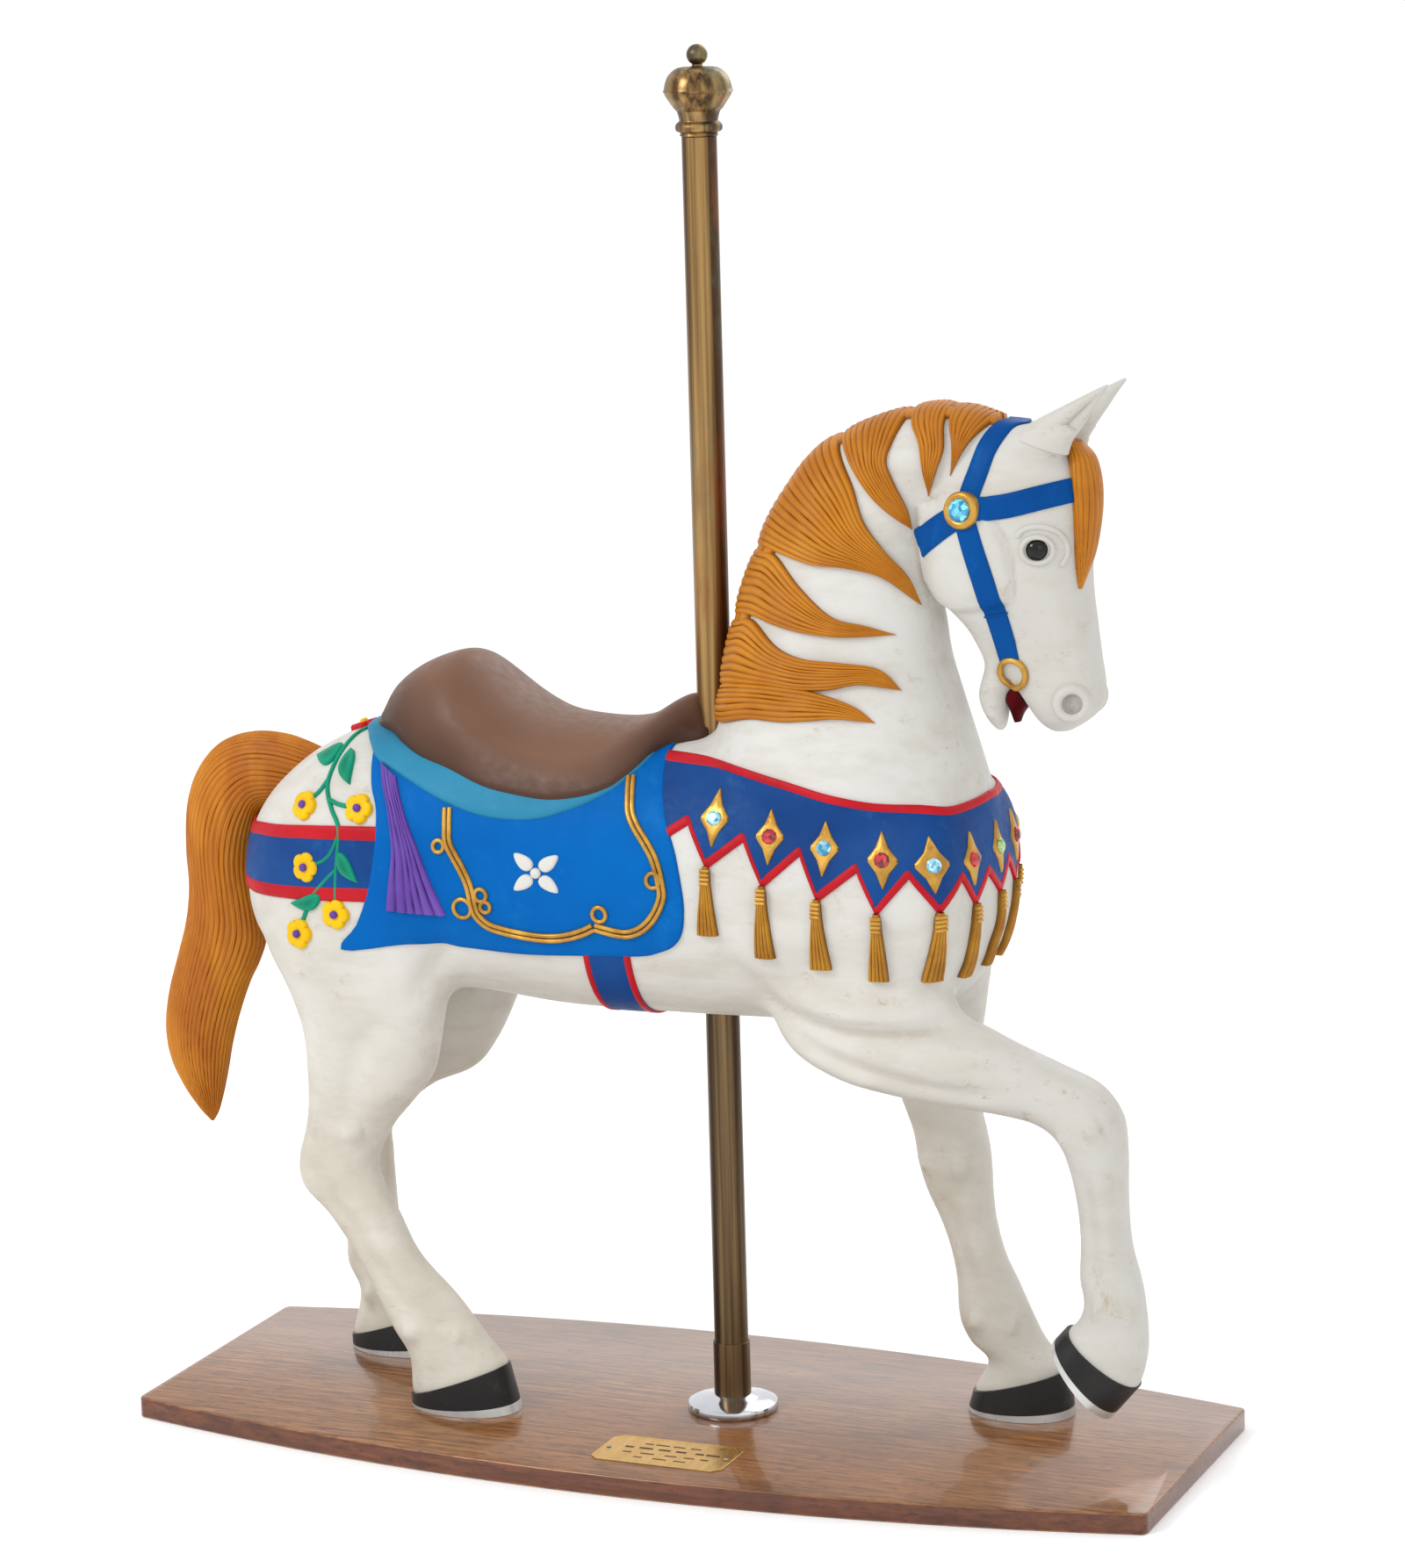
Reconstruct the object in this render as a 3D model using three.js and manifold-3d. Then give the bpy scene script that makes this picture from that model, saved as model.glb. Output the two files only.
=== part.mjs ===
import * as THREE from 'three';
import { mergeVertices } from 'three/addons/utils/BufferGeometryUtils.js';
import Module from 'manifold-3d';

const wasm = await Module();
wasm.setup();

// Carousel horse on its display stand, millimetres, +Z up, +X to the head, +Y to the horse's left.
// The origin is the centre of the board's underside.

// Driving dimensions of the stand
const BOARD_LENGTH = 1212;
const BOARD_END_WIDTH = 367;
const BOARD_BULGE = 72;
const BOARD_THICKNESS = 24;
const BOARD_CORNER = 9;
const BOARD_EDGE_ROUND = 2;
const POLE_X = 59.3;
const POLE_DIAMETER = 38;
const POLE_WALL = 2;
const POLE_TOP = 1451;
const SLEEVE_WALL = 1.4;
const SLEEVE_HEIGHT = 62;
const FLANGE_DIAMETER = 102;
const FLANGE_RIM = 10;
const FLANGE_HEIGHT = 18;
const FINIAL_HEIGHT = 98;
const FINIAL_DIAMETER = 76;
const PLAQUE_LENGTH = 156;
const PLAQUE_WIDTH = 82;
const PLAQUE_THICKNESS = 1.2;
const PLAQUE_X = 51;
const PLAQUE_INSET = 14.5;
const PLAQUE_Y = PLAQUE_INSET - BOARD_END_WIDTH / 2;
const SCREW_DIAMETER = 6;
const SCREW_HEIGHT = 1.6;

// Driving dimensions of the horse: soles to ear tips, and the glass set into it
const HORSE_HEIGHT = 1172;
const EYE_DIAMETER = 27;
const JEWEL_DIAMETER = 17;
const ROSETTE_JEWEL_DIAMETER = 25;

// Gap between pieces that touch
const GAP = 0.3;
const TURNED_SIDES = 20;

// The carving is drawn at a height of DRAWN_HEIGHT, with its soles at SOLE_LEVEL
const DRAWN_HEIGHT = 1172;
const SOLE_LEVEL = 24;
const HORSE_SCALE = HORSE_HEIGHT / DRAWN_HEIGHT;

const COLOURS = {
  cream: 0xe9e6df, veneer: 0x6b4636, brass: 0x8a714c, chrome: 0xc8ccd0, plaque: 0xc9a24a,
  glass: 0x101012, aqua: 0x9fd9e0, red: 0xa01222, lime: 0xa9cc8a, steel: 0xb8b4a8,
};

function finish(colour, roughness, metalness) {
  return new THREE.MeshStandardMaterial({ color: COLOURS[colour], roughness, metalness });
}

// Solids
function solidFrom(geometry) {
  const bare = geometry.clone();
  bare.deleteAttribute('normal');
  bare.deleteAttribute('uv');
  const merged = mergeVertices(bare, 1e-4);
  const vertProperties = new Float32Array(merged.attributes.position.array);
  const triVerts = new Uint32Array(merged.index.array);
  return new wasm.Manifold(new wasm.Mesh({ numProp: 3, vertProperties, triVerts }));
}

function geometryFrom(solid) {
  const mesh = solid.getMesh();
  const geometry = new THREE.BufferGeometry();
  geometry.setAttribute('position', new THREE.BufferAttribute(new Float32Array(mesh.vertProperties), 3));
  geometry.setIndex(new THREE.BufferAttribute(new Uint32Array(mesh.triVerts), 1));
  return geometry;
}

function join(solids) {
  return solids.reduce((whole, solid) => whole.add(solid));
}

function named(name, geometry, material) {
  const mesh = new THREE.Mesh(geometry, material);
  mesh.name = name;
  return mesh;
}

// Turned pieces: the profile is a list of radius and height
function turned(profile, sides = TURNED_SIDES) {
  const points = profile.map(([radius, height]) => new THREE.Vector2(radius, height));
  return new THREE.LatheGeometry(points, sides).rotateX(Math.PI / 2);
}

function turnedRing(inner, outer, low, high) {
  return turned([[inner, low], [outer, low], [outer, high], [inner, high], [inner, low]]);
}

// A flat outline in X and Z, pushed through Y from low to high
function prism(outline, low = -300, high = 300) {
  const shape = new THREE.Shape(outline.map(([x, z]) => new THREE.Vector2(x, z)));
  const options = { depth: high - low, bevelEnabled: false, curveSegments: 1 };
  return new THREE.ExtrudeGeometry(shape, options).rotateX(Math.PI / 2).translate(0, high, 0);
}

// A limb is a loft through rows of [x1, z1, x2, z2, half width, y]: the two edges of its side
// outline, its half width there, and its place across the horse. Its sections are superellipses.
function limb(rows, { y = 0, sides = 16, power = 2 } = {}) {
  const positions = [];
  for (const [x1, z1, x2, z2, halfWidth, drift = 0] of rows) {
    for (let k = 0; k < sides; k += 1) {
      const angle = (2 * Math.PI * k) / sides;
      const along = roundedUnit(Math.cos(angle), power);
      const across = roundedUnit(Math.sin(angle), power);
      positions.push((x1 + x2) / 2 + ((x1 - x2) / 2) * along);
      positions.push(y + drift + halfWidth * across);
      positions.push((z1 + z2) / 2 + ((z1 - z2) / 2) * along);
    }
  }
  return closedLoft(positions, rows.length, sides);
}

function roundedUnit(value, power) {
  return Math.sign(value) * Math.abs(value) ** (2 / power);
}

function closedLoft(positions, rings, sides) {
  const index = [];
  for (let i = 0; i < rings - 1; i += 1) {
    for (let k = 0; k < sides; k += 1) {
      const a = i * sides + k;
      const b = i * sides + ((k + 1) % sides);
      index.push(a, b, b + sides, a, b + sides, a + sides);
    }
  }
  for (let k = 1; k < sides - 1; k += 1) {
    const last = (rings - 1) * sides;
    index.push(0, k + 1, k);
    index.push(last, last + k, last + k + 1);
  }
  const geometry = new THREE.BufferGeometry();
  geometry.setAttribute('position', new THREE.Float32BufferAttribute(positions, 3));
  geometry.setIndex(index);
  return facingOut(geometry);
}

function facingOut(geometry) {
  if (enclosedVolume(geometry) < 0) {
    geometry.index.array.reverse();
  }
  return geometry;
}

function enclosedVolume(geometry) {
  const corners = [new THREE.Vector3(), new THREE.Vector3(), new THREE.Vector3()];
  let volume = 0;
  for (let i = 0; i < geometry.index.count; i += 3) {
    corners.forEach((corner, k) => {
      corner.fromBufferAttribute(geometry.attributes.position, geometry.index.getX(i + k));
    });
    volume += corners[0].dot(corners[1].cross(corners[2])) / 6;
  }
  return volume;
}

// The same limb with its surface moved out along its normals
function swollen(geometry, distance) {
  const grown = geometry.clone();
  grown.computeVertexNormals();
  const { position, normal } = grown.attributes;
  for (let i = 0; i < position.count; i += 1) {
    position.setXYZ(
      i,
      position.getX(i) + normal.getX(i) * distance,
      position.getY(i) + normal.getY(i) * distance,
      position.getZ(i) + normal.getZ(i) * distance,
    );
  }
  return grown;
}

// The carved body

// Trunk: top edge and bottom edge, from the rump to the breast
const TRUNK = [
  [-512, 642, -512, 606, 14],
  [-503, 672, -503, 562, 50],
  [-485, 706, -485, 530, 80],
  [-455, 738, -455, 508, 105],
  [-410, 770, -410, 496, 125],
  [-350, 793, -350, 494, 137],
  [-250, 800, -240, 498, 140],
  [-120, 796, -120, 488, 138],
  [100, 800, 100, 488, 136],
  [200, 795, 200, 490, 136],
  [285, 790, 285, 498, 135],
  [340, 778, 340, 522, 134],
  [360, 762, 360, 548, 126],
  [371, 746, 371, 566, 108],
  [378, 722, 378, 588, 82],
  [384, 696, 384, 604, 48],
  [387, 672, 387, 622, 18],
];

// Neck: crest and throat edges, from inside the shoulders to the poll
const NECK = [
  [66, 690, 372, 640, 112],
  [68, 770, 382, 712, 122],
  [70, 815, 372, 772, 108],
  [80, 862, 352, 840, 92],
  [92, 915, 335, 895, 78],
  [106, 965, 330, 935, 70],
  [128, 1018, 324, 965, 64],
  [158, 1068, 320, 1000, 60],
  [199, 1117, 322, 1030, 57],
  [250, 1144, 332, 1050, 54],
  [310, 1162, 350, 1060, 50],
  [362, 1165, 380, 1070, 45],
  [400, 1152, 402, 1090, 36],
];

// Head: back and front edges, from the poll down to the upper lip
const HEAD = [
  [392, 1156, 448, 1148, 26],
  [362, 1134, 478, 1118, 46],
  [334, 1104, 490, 1096, 56],
  [318, 1070, 495, 1066, 61],
  [312, 1034, 496, 1034, 62],
  [313, 1000, 495, 1004, 60],
  [322, 968, 496, 976, 56],
  [345, 945, 499, 950, 50],
  [368, 920, 503, 922, 43],
  [388, 896, 507, 895, 38],
  [408, 874, 510, 872, 37],
  [424, 852, 506, 850, 36],
  [436, 834, 490, 834, 28],
  [450, 822, 470, 822, 12],
];

// Lower jaw: throat side and mouth side, down to the chin
const JAW = [
  [352, 944, 420, 930, 36],
  [368, 914, 420, 900, 31],
  [378, 894, 416, 884, 28],
  [372, 874, 408, 868, 28],
  [367, 856, 402, 850, 27],
  [378, 834, 399, 832, 21],
  [388, 827, 397, 826, 10],
];

const EAR_Y = 30;
const EAR = [
  [424, 1140, 482, 1122, 15],
  [440, 1154, 486, 1134, 15],
  [462, 1166, 496, 1148, 13],
  [486, 1178, 508, 1166, 9],
  [508, 1189, 518, 1182, 5],
  [525, 1197, 527, 1195, 1],
];

const FORELOCK = [
  [468, 1136, 486, 1133, 12, 0],
  [474, 1118, 501, 1118, 22, -2],
  [476, 1095, 508, 1095, 28, -4],
  [478, 1068, 510, 1068, 28, -6],
  [480, 1040, 508, 1040, 25, -9],
  [482, 1015, 504, 1015, 19, -13],
  [486, 995, 498, 995, 11, -18],
  [488, 980, 493, 980, 3, -22],
];

// Tail: outer and inner edges, from the dock to the tip
const TAIL = [
  [-425, 758, -460, 690, 24],
  [-470, 772, -490, 690, 31],
  [-515, 774, -507, 684, 35],
  [-557, 760, -514, 664, 37],
  [-586, 730, -520, 636, 38],
  [-602, 690, -522, 600, 38],
  [-607, 640, -516, 560, 37],
  [-606, 592, -514, 528, 36],
  [-612, 550, -524, 500, 35],
  [-625, 508, -538, 474, 34],
  [-640, 462, -553, 436, 32],
  [-647, 420, -564, 400, 29],
  [-643, 382, -571, 368, 24],
  [-628, 348, -578, 340, 17],
  [-610, 322, -585, 318, 9],
  [-596, 307, -592, 306, 2],
];

// Legs: back and front edges from the body down to the coronet, and the hoof from there to the sole
const LEGS = [
  {
    // near hind leg
    y: -86,
    rows: [
      [-470, 625, -235, 625, 36],
      [-474, 590, -226, 590, 46],
      [-460, 545, -228, 545, 50],
      [-420, 455, -248, 452, 47],
      [-416, 415, -260, 410, 43],
      [-420, 342, -314, 344, 33],
      [-432, 300, -334, 302, 30],
      [-428, 268, -326, 272, 28],
      [-398, 238, -309, 242, 25],
      [-344, 152, -240, 152, 24],
      [-322, 110, -208, 112, 28],
      [-301, 78, -188, 88, 32],
      [-298, 36, -180, 80, 38],
      [-288, 29, -186, 58, 34],
    ],
    hoof: [[-299, 34, -180, 78, 41], [-298, SOLE_LEVEL, -167, SOLE_LEVEL, 46]],
  },
  {
    // far hind leg
    y: 86,
    rows: [
      [-470, 625, -235, 625, 36],
      [-478, 590, -216, 590, 46],
      [-474, 545, -212, 545, 50],
      [-462, 455, -234, 458, 46],
      [-478, 380, -290, 374, 37],
      [-492, 345, -348, 347, 32],
      [-503, 304, -400, 300, 29],
      [-494, 262, -403, 262, 26],
      [-472, 215, -401, 215, 23],
      [-466, 125, -390, 118, 26],
      [-450, 90, -372, 94, 28],
      [-462, 38, -346, 78, 36],
      [-452, 30, -350, 56, 33],
    ],
    hoof: [[-463, 36, -346, 76, 39], [-462, SOLE_LEVEL, -331, SOLE_LEVEL, 45]],
  },
  {
    // near foreleg, raised
    y: -84,
    rows: [
      [170, 575, 240, 635, 26],
      [150, 522, 300, 605, 42],
      [176, 472, 345, 570, 46],
      [295, 430, 402, 512, 44],
      [420, 418, 482, 478, 37],
      [458, 411, 528, 458, 36],
      [482, 394, 552, 426, 36],
      [494, 365, 557, 386, 33],
      [502, 325, 557, 335, 29],
      [503, 246, 572, 246, 26],
      [508, 218, 577, 210, 26],
      [500, 196, 578, 168, 29],
      [489, 187, 568, 131, 34],
      [490, 170, 556, 118, 32],
    ],
    hoof: [[487, 188, 568, 129, 37], [473, 172, 537, 92, 43]],
  },
  {
    // far foreleg, standing
    y: 96,
    rows: [
      [185, 600, 345, 600, 36],
      [190, 540, 345, 545, 42],
      [203, 480, 336, 490, 44],
      [236, 375, 326, 378, 35],
      [248, 340, 335, 338, 31],
      [262, 276, 340, 276, 27],
      [279, 240, 344, 240, 25],
      [291, 205, 354, 202, 25],
      [299, 130, 388, 130, 29],
      [312, 102, 404, 102, 31],
      [334, 82, 420, 90, 32],
      [316, 47, 426, 80, 37],
      [324, 34, 420, 60, 34],
    ],
    hoof: [[315, 45, 427, 78, 40], [309, SOLE_LEVEL, 432, SOLE_LEVEL, 46]],
  },
];

function leg({ y, rows, hoof }) {
  return join([
    solidFrom(limb(rows, { y, sides: 8, power: 2.1 })),
    solidFrom(limb(hoof, { y, sides: 10, power: 2.1 })),
  ]);
}

const trunk = limb(TRUNK, { sides: 16, power: 2.3 });
const neck = limb(NECK, { sides: 12, power: 2.1 });
const head = limb(HEAD, { sides: 12, power: 2.3 });
const barrel = join([solidFrom(trunk), solidFrom(neck)]);
const skull = join([solidFrom(head), solidFrom(limb(JAW, { sides: 8 }))]);

// Low relief: what a part of the body, swollen by a height, holds inside a side outline
function relief(part, height, outline, low = -300, high = 300) {
  return solidFrom(swollen(part, height)).intersect(solidFrom(prism(outline, low, high)));
}

// Saddle, drawn as a seat that rises out of the back, with its lower edge on the flanks
const SEAT = [
  [-338, 815, -330, 740, 26],
  [-326, 838, -322, 715, 56],
  [-292, 864, -292, 700, 82],
  [-252, 880, -252, 690, 97],
  [-228, 881, -228, 690, 102],
  [-204, 864, -204, 690, 106],
  [-172, 838, -172, 690, 110],
  [-130, 817, -130, 690, 113],
  [-60, 809, -60, 690, 113],
  [-12, 819, -12, 690, 98],
  [18, 838, 18, 690, 68],
  [46, 852, 46, 700, 30],
  [56, 854, 56, 740, 16],
];
const SADDLE_OUTLINE = [
  [-350, 900], [-344, 812], [-332, 799], [-296, 787], [-217, 759], [-171, 745], [-89, 735], [-23, 749],
  [9, 777], [34, 822], [70, 842], [70, 900],
];
const PAD_OUTLINE = [
  [-354, 860], [-354, 803], [-327, 777], [-263, 750], [-175, 720], [-96, 719], [-31, 743], [20, 790],
  [20, 860],
];
const BLANKET_OUTLINE = [
  [-330, 860], [-322, 790], [-296, 718], [-296, 680], [-304, 630], [-341, 560], [-266, 569], [-135, 567],
  [16, 574], [60, 589], [75, 625], [66, 689], [37, 770], [32, 860],
];
const DRAPE_OUTLINE = [
  [-306, 766], [-282, 718], [-272, 680], [-277, 640], [-284, 608], [-245, 603], [-207, 606], [-230, 661],
  [-252, 709], [-272, 752],
];
const GIRTH_OUTLINE = [
  [-50, 590], [-51, 540], [-60, 500], [-62, 460], [0, 460], [0, 506], [5, 544], [6, 590],
];
const CRUPPER_OUTLINE = [[-540, 682], [-290, 703], [-290, 617], [-540, 606]];
const SADDLE_RISE = 10;
const PAD_RISE = 7;
const CLOTH_RISE = 3.5;
const DRAPE_RISE = 8;
const STRAP_RISE = 2.5;

// Breast band: its upper edge, and the points of its zigzag lower edge, on the flank and across the breast
const BAND_TOP = [
  [20, 791], [71, 787], [131, 783], [189, 774], [241, 763], [288, 755], [335, 752], [420, 750],
];
const FLANK_LOWS = [[105, 676], [165, 660], [230, 650], [298, 640], [361, 640]];
const FLANK_HIGHS = [[78, 720], [143, 708], [209, 697], [276, 684], [334, 680], [361, 676]];
const FRONT_LOW_Y = [0, 65, 126];
const FRONT_LOW_Z = 640;
const FRONT_HIGH_Y = [32, 96, 160];
const FRONT_HIGH_Z = 674;
const FRONT_X = 352;

function flankBand() {
  const lower = [];
  FLANK_HIGHS.forEach((high, i) => {
    lower.push(high);
    if (i < FLANK_LOWS.length) {
      lower.push(FLANK_LOWS[i]);
    }
  });
  const behind = lower.filter(([x]) => x < FRONT_X);
  const top = BAND_TOP.filter(([x]) => x < FRONT_X);
  return prism([...top, [FRONT_X, 751], [FRONT_X, 650], ...behind.reverse(), [20, 700]]);
}

function frontBand() {
  const half = [];
  FRONT_LOW_Y.forEach((y, i) => half.push([y, FRONT_LOW_Z], [FRONT_HIGH_Y[i], FRONT_HIGH_Z]));
  const mirrored = half.slice(1).map(([y, z]) => [-y, z]).reverse();
  const outline = [...mirrored, ...half, [160, 751], [-160, 751]];
  const shape = new THREE.Shape(outline.map(([y, z]) => new THREE.Vector2(y, z)));
  const block = new THREE.ExtrudeGeometry(shape, { depth: 100, bevelEnabled: false });
  return block.rotateX(Math.PI / 2).rotateZ(Math.PI / 2).translate(FRONT_X - 0.5, 0, 0);
}

function breastBand() {
  const raised = join([trunk, neck].map((part) => solidFrom(swollen(part, STRAP_RISE))));
  return raised.intersect(join([solidFrom(flankBand()), solidFrom(frontBand())]));
}

// Bridle straps on the head
const BRIDLE = [
  [[370, 1080], [391, 1135], [396, 1180], [424, 1180], [428, 1156], [390, 1076]],
  [[385, 1078], [457, 1092], [520, 1102], [520, 1076], [458, 1066], [388, 1052]],
  [[356, 1062], [313, 1037], [300, 1030], [300, 998], [315, 1005], [368, 1046]],
  [[370, 1046], [390, 979], [407, 893], [428, 899], [412, 980], [394, 1051]],
];

// Mane: each lock of the right side is an outline on the neck and a rise
const MANE = [
  { rise: 7, outline: [[40, 815], [134, 833], [209, 837], [281, 837], [240, 858], [190, 880], [40, 900]] },
  { rise: 10, outline: [[40, 850], [190, 862], [304, 870], [268, 898], [196, 902], [132, 939], [50, 960]] },
  { rise: 7, outline: [[50, 890], [123, 943], [189, 928], [295, 928], [228, 947], [160, 1008], [80, 1030]] },
  { rise: 10, outline: [[60, 950], [163, 1008], [244, 998], [315, 957], [282, 1018], [249, 1088], [223, 1124],
    [190, 1170], [80, 1100]] },
  { rise: 7, outline: [[170, 1180], [233, 1120], [272, 1073], [309, 1039], [287, 1112], [299, 1154],
    [299, 1190]] },
  { rise: 9, outline: [[298, 1190], [300, 1150], [325, 1127], [331, 1076], [350, 1126], [346, 1190]] },
  { rise: 7, outline: [[345, 1190], [345, 1154], [358, 1099], [375, 1131], [400, 1152], [398, 1190]] },
];

// The left side's mane is plainer: one outline with a few broad points
const LEFT_MANE_RISE = 8;
const LEFT_MANE = [
  [40, 815], [150, 834], [270, 842], [190, 885], [180, 925], [295, 930], [230, 990], [315, 985], [262, 1060],
  [250, 1120], [309, 1050], [296, 1130], [331, 1080], [350, 1130], [358, 1100], [400, 1152], [398, 1190],
  [60, 1190],
];

// A frame on the carved surface: where a ray meets it, Z out of the surface, Y as near up as it can be
function surfaceFrame(target, from, direction) {
  const caster = new THREE.Raycaster(from, direction);
  const hit = caster.intersectObject(target, false)[0];
  const out = hit.face.normal.clone();
  const up = new THREE.Vector3(0, 0, 1).addScaledVector(out, -out.z).normalize();
  const side = new THREE.Vector3().crossVectors(up, out);
  return new THREE.Matrix4().makeBasis(side, up, out).setPosition(hit.point);
}

const FAR_OUT = 600;

function flankFrame(target, x, z, hand) {
  return surfaceFrame(target, new THREE.Vector3(x, hand * FAR_OUT, z), new THREE.Vector3(0, -hand, 0));
}

function frontFrame(target, y, z) {
  return surfaceFrame(target, new THREE.Vector3(FAR_OUT, y, z), new THREE.Vector3(-1, 0, 0));
}

const HANDS = [-1, 1];
const barrelMesh = new THREE.Mesh(geometryFrom(barrel));
const headMesh = new THREE.Mesh(head);

// Diamonds, jewels and tassels, one of each under the other, round the breast
const FLANK_JEWELS = [[108, 730], [174, 715], [238, 707], [304, 698]];
const CORNER_JEWEL = [358, 693];
const FRONT_JEWEL = [65, 692];
const DIAMOND_HALF = [17, 28];
const DIAMOND_RISE = 5;
const ROOT_DEPTH = 12;
const TASSEL_LENGTH = 72;

function jewelFrames() {
  const frames = [];
  const colours = ['aqua', 'red', 'aqua', 'red', 'aqua', 'red'];
  FLANK_JEWELS.forEach(([x, z], i) => {
    const frame = flankFrame(barrelMesh, x, z, -1);
    frames.push({ name: `breast_jewel_right_${i + 1}`, colour: colours[i], frame });
  });
  for (const hand of HANDS) {
    const side = hand < 0 ? 'right' : 'left';
    const corner = flankFrame(barrelMesh, ...CORNER_JEWEL, hand);
    const front = frontFrame(barrelMesh, hand * FRONT_JEWEL[0], FRONT_JEWEL[1]);
    frames.push({ name: `breast_jewel_${side}_5`, colour: colours[4], frame: corner });
    frames.push({ name: `breast_jewel_${side}_6`, colour: colours[5], frame: front });
  }
  frames.push({ name: 'breast_jewel_centre', colour: 'lime', frame: frontFrame(barrelMesh, 0, 692) });
  return frames;
}

function diamond(frame) {
  const [a, b] = DIAMOND_HALF;
  const shape = new THREE.Shape([[a, 0], [0, b], [-a, 0], [0, -b]].map(([x, y]) => new THREE.Vector2(x, y)));
  const options = { depth: ROOT_DEPTH + DIAMOND_RISE, bevelEnabled: false };
  return new THREE.ExtrudeGeometry(shape, options).translate(0, 0, -ROOT_DEPTH).applyMatrix4(frame);
}

// Tassel: a bound head and a flared skirt, drawn hanging from the origin and half sunk in the surface
const TASSEL_ROWS = [[3, 4, 4], [-12, 6, 6], [-72, 12.5, 7]];

function tassel(top, bottom) {
  const rows = TASSEL_ROWS.map(([z, half, depth]) => [-half, z, half, z, depth]);
  const start = new THREE.Vector3().setFromMatrixPosition(top);
  const end = new THREE.Vector3().setFromMatrixPosition(bottom);
  const down = end.clone().sub(start).normalize();
  const outward = new THREE.Vector3(top.elements[8], top.elements[9], top.elements[10]);
  const side = new THREE.Vector3().crossVectors(outward, down).normalize();
  const depth = new THREE.Vector3().crossVectors(side, down);
  const basis = new THREE.Matrix4().makeBasis(side, depth, down.clone().negate()).setPosition(start);
  return facingOut(limb(rows, { sides: 5 }).applyMatrix4(basis));
}

function tassels() {
  const list = [];
  FLANK_LOWS.slice(0, 4).forEach(([x, z]) => {
    list.push(tassel(flankFrame(barrelMesh, x, z, -1), flankFrame(barrelMesh, x, z - TASSEL_LENGTH, -1)));
  });
  for (const hand of HANDS) {
    FRONT_LOW_Y.slice(1).forEach((y) => {
      list.push(tassel(
        frontFrame(barrelMesh, hand * y * 0.98, FRONT_LOW_Z),
        frontFrame(barrelMesh, hand * y * 0.9, FRONT_LOW_Z - TASSEL_LENGTH),
      ));
    });
  }
  const middle = frontFrame(barrelMesh, 0, FRONT_LOW_Z);
  list.push(tassel(middle, frontFrame(barrelMesh, 0, FRONT_LOW_Z - TASSEL_LENGTH)));
  return list.map(solidFrom);
}

// Flowers on the rump
const FLOWERS = [[-392, 716], [-318, 719], [-385, 650], [-347, 600], [-395, 574]];
const FLOWER_RADIUS = 16;
const FLOWER_RISE = 5;

function flowers() {
  return FLOWERS.map(([x, z]) => {
    const profile = [[0, -ROOT_DEPTH], [FLOWER_RADIUS, -ROOT_DEPTH], [FLOWER_RADIUS, 2.5], [0, FLOWER_RISE]];
    const disc = turned(profile, 8);
    return solidFrom(disc.applyMatrix4(flankFrame(barrelMesh, x, z, -1)));
  });
}

// On the head: rosettes, bit rings, nostrils and eyes, at these places on its sides
const ROSETTE = [376, 1065];
const BIT_RING = [418, 887];
const NOSTRIL = [483, 858];
const EYE = [454, 1024];
const ROSETTE_RADIUS = 20;
const ROSETTE_RISE = 8;
const BIT_RING_RADIUS = 15.5;
const BIT_RING_THICKNESS = 7;
const NOSTRIL_RADIUS = 21;
const NOSTRIL_HOLE = 11;
const EYE_SHOWING = 6;

function rosette(hand) {
  const profile = [[0, -ROOT_DEPTH], [ROSETTE_RADIUS, -ROOT_DEPTH], [ROSETTE_RADIUS, ROSETTE_RISE - 3],
    [ROSETTE_RADIUS - 4, ROSETTE_RISE], [0, ROSETTE_RISE]];
  return solidFrom(turned(profile, 10).applyMatrix4(flankFrame(headMesh, ...ROSETTE, hand)));
}

function bitRing(hand) {
  const ring = new THREE.TorusGeometry(BIT_RING_RADIUS, BIT_RING_THICKNESS / 2, 4, 8).translate(0, 0, 1);
  return solidFrom(ring.applyMatrix4(flankFrame(headMesh, ...BIT_RING, hand)));
}

function nostril(hand) {
  const frame = flankFrame(headMesh, ...NOSTRIL, hand);
  const profile = [[0, -ROOT_DEPTH], [NOSTRIL_RADIUS, -ROOT_DEPTH], [NOSTRIL_RADIUS, 0], [16, 5], [0, 5]];
  const mound = turned(profile, 8);
  const hole = turned([[0, 0.5], [NOSTRIL_HOLE * 0.5, 0.5], [NOSTRIL_HOLE, 7], [0, 7]], 8);
  return { mound: solidFrom(mound.applyMatrix4(frame)), hole: solidFrom(hole.applyMatrix4(frame)) };
}

function eyeBall(hand, extra) {
  const radius = EYE_DIAMETER / 2 / HORSE_SCALE;
  const frame = flankFrame(headMesh, ...EYE, hand);
  const ball = new THREE.SphereGeometry(radius + extra / HORSE_SCALE, 10, 6);
  return ball.translate(0, 0, EYE_SHOWING - radius).applyMatrix4(frame);
}

// A cut glass stone: flat back, girdle, bevel and table
function stone(diameter, frame, rise) {
  const radius = diameter / 2 / HORSE_SCALE;
  const back = rise + GAP / HORSE_SCALE;
  const table = back + radius * 0.5;
  const girdle = back + radius * 0.15;
  const profile = [[0, back], [radius, back], [radius, girdle], [radius * 0.55, table], [0, table]];
  return turned(profile, 6).applyMatrix4(frame);
}

// The mouth is open behind the upper lip
const MOUTH = [[398, 800], [402, 850], [411, 872], [424, 862], [430, 846], [436, 800]];

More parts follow.
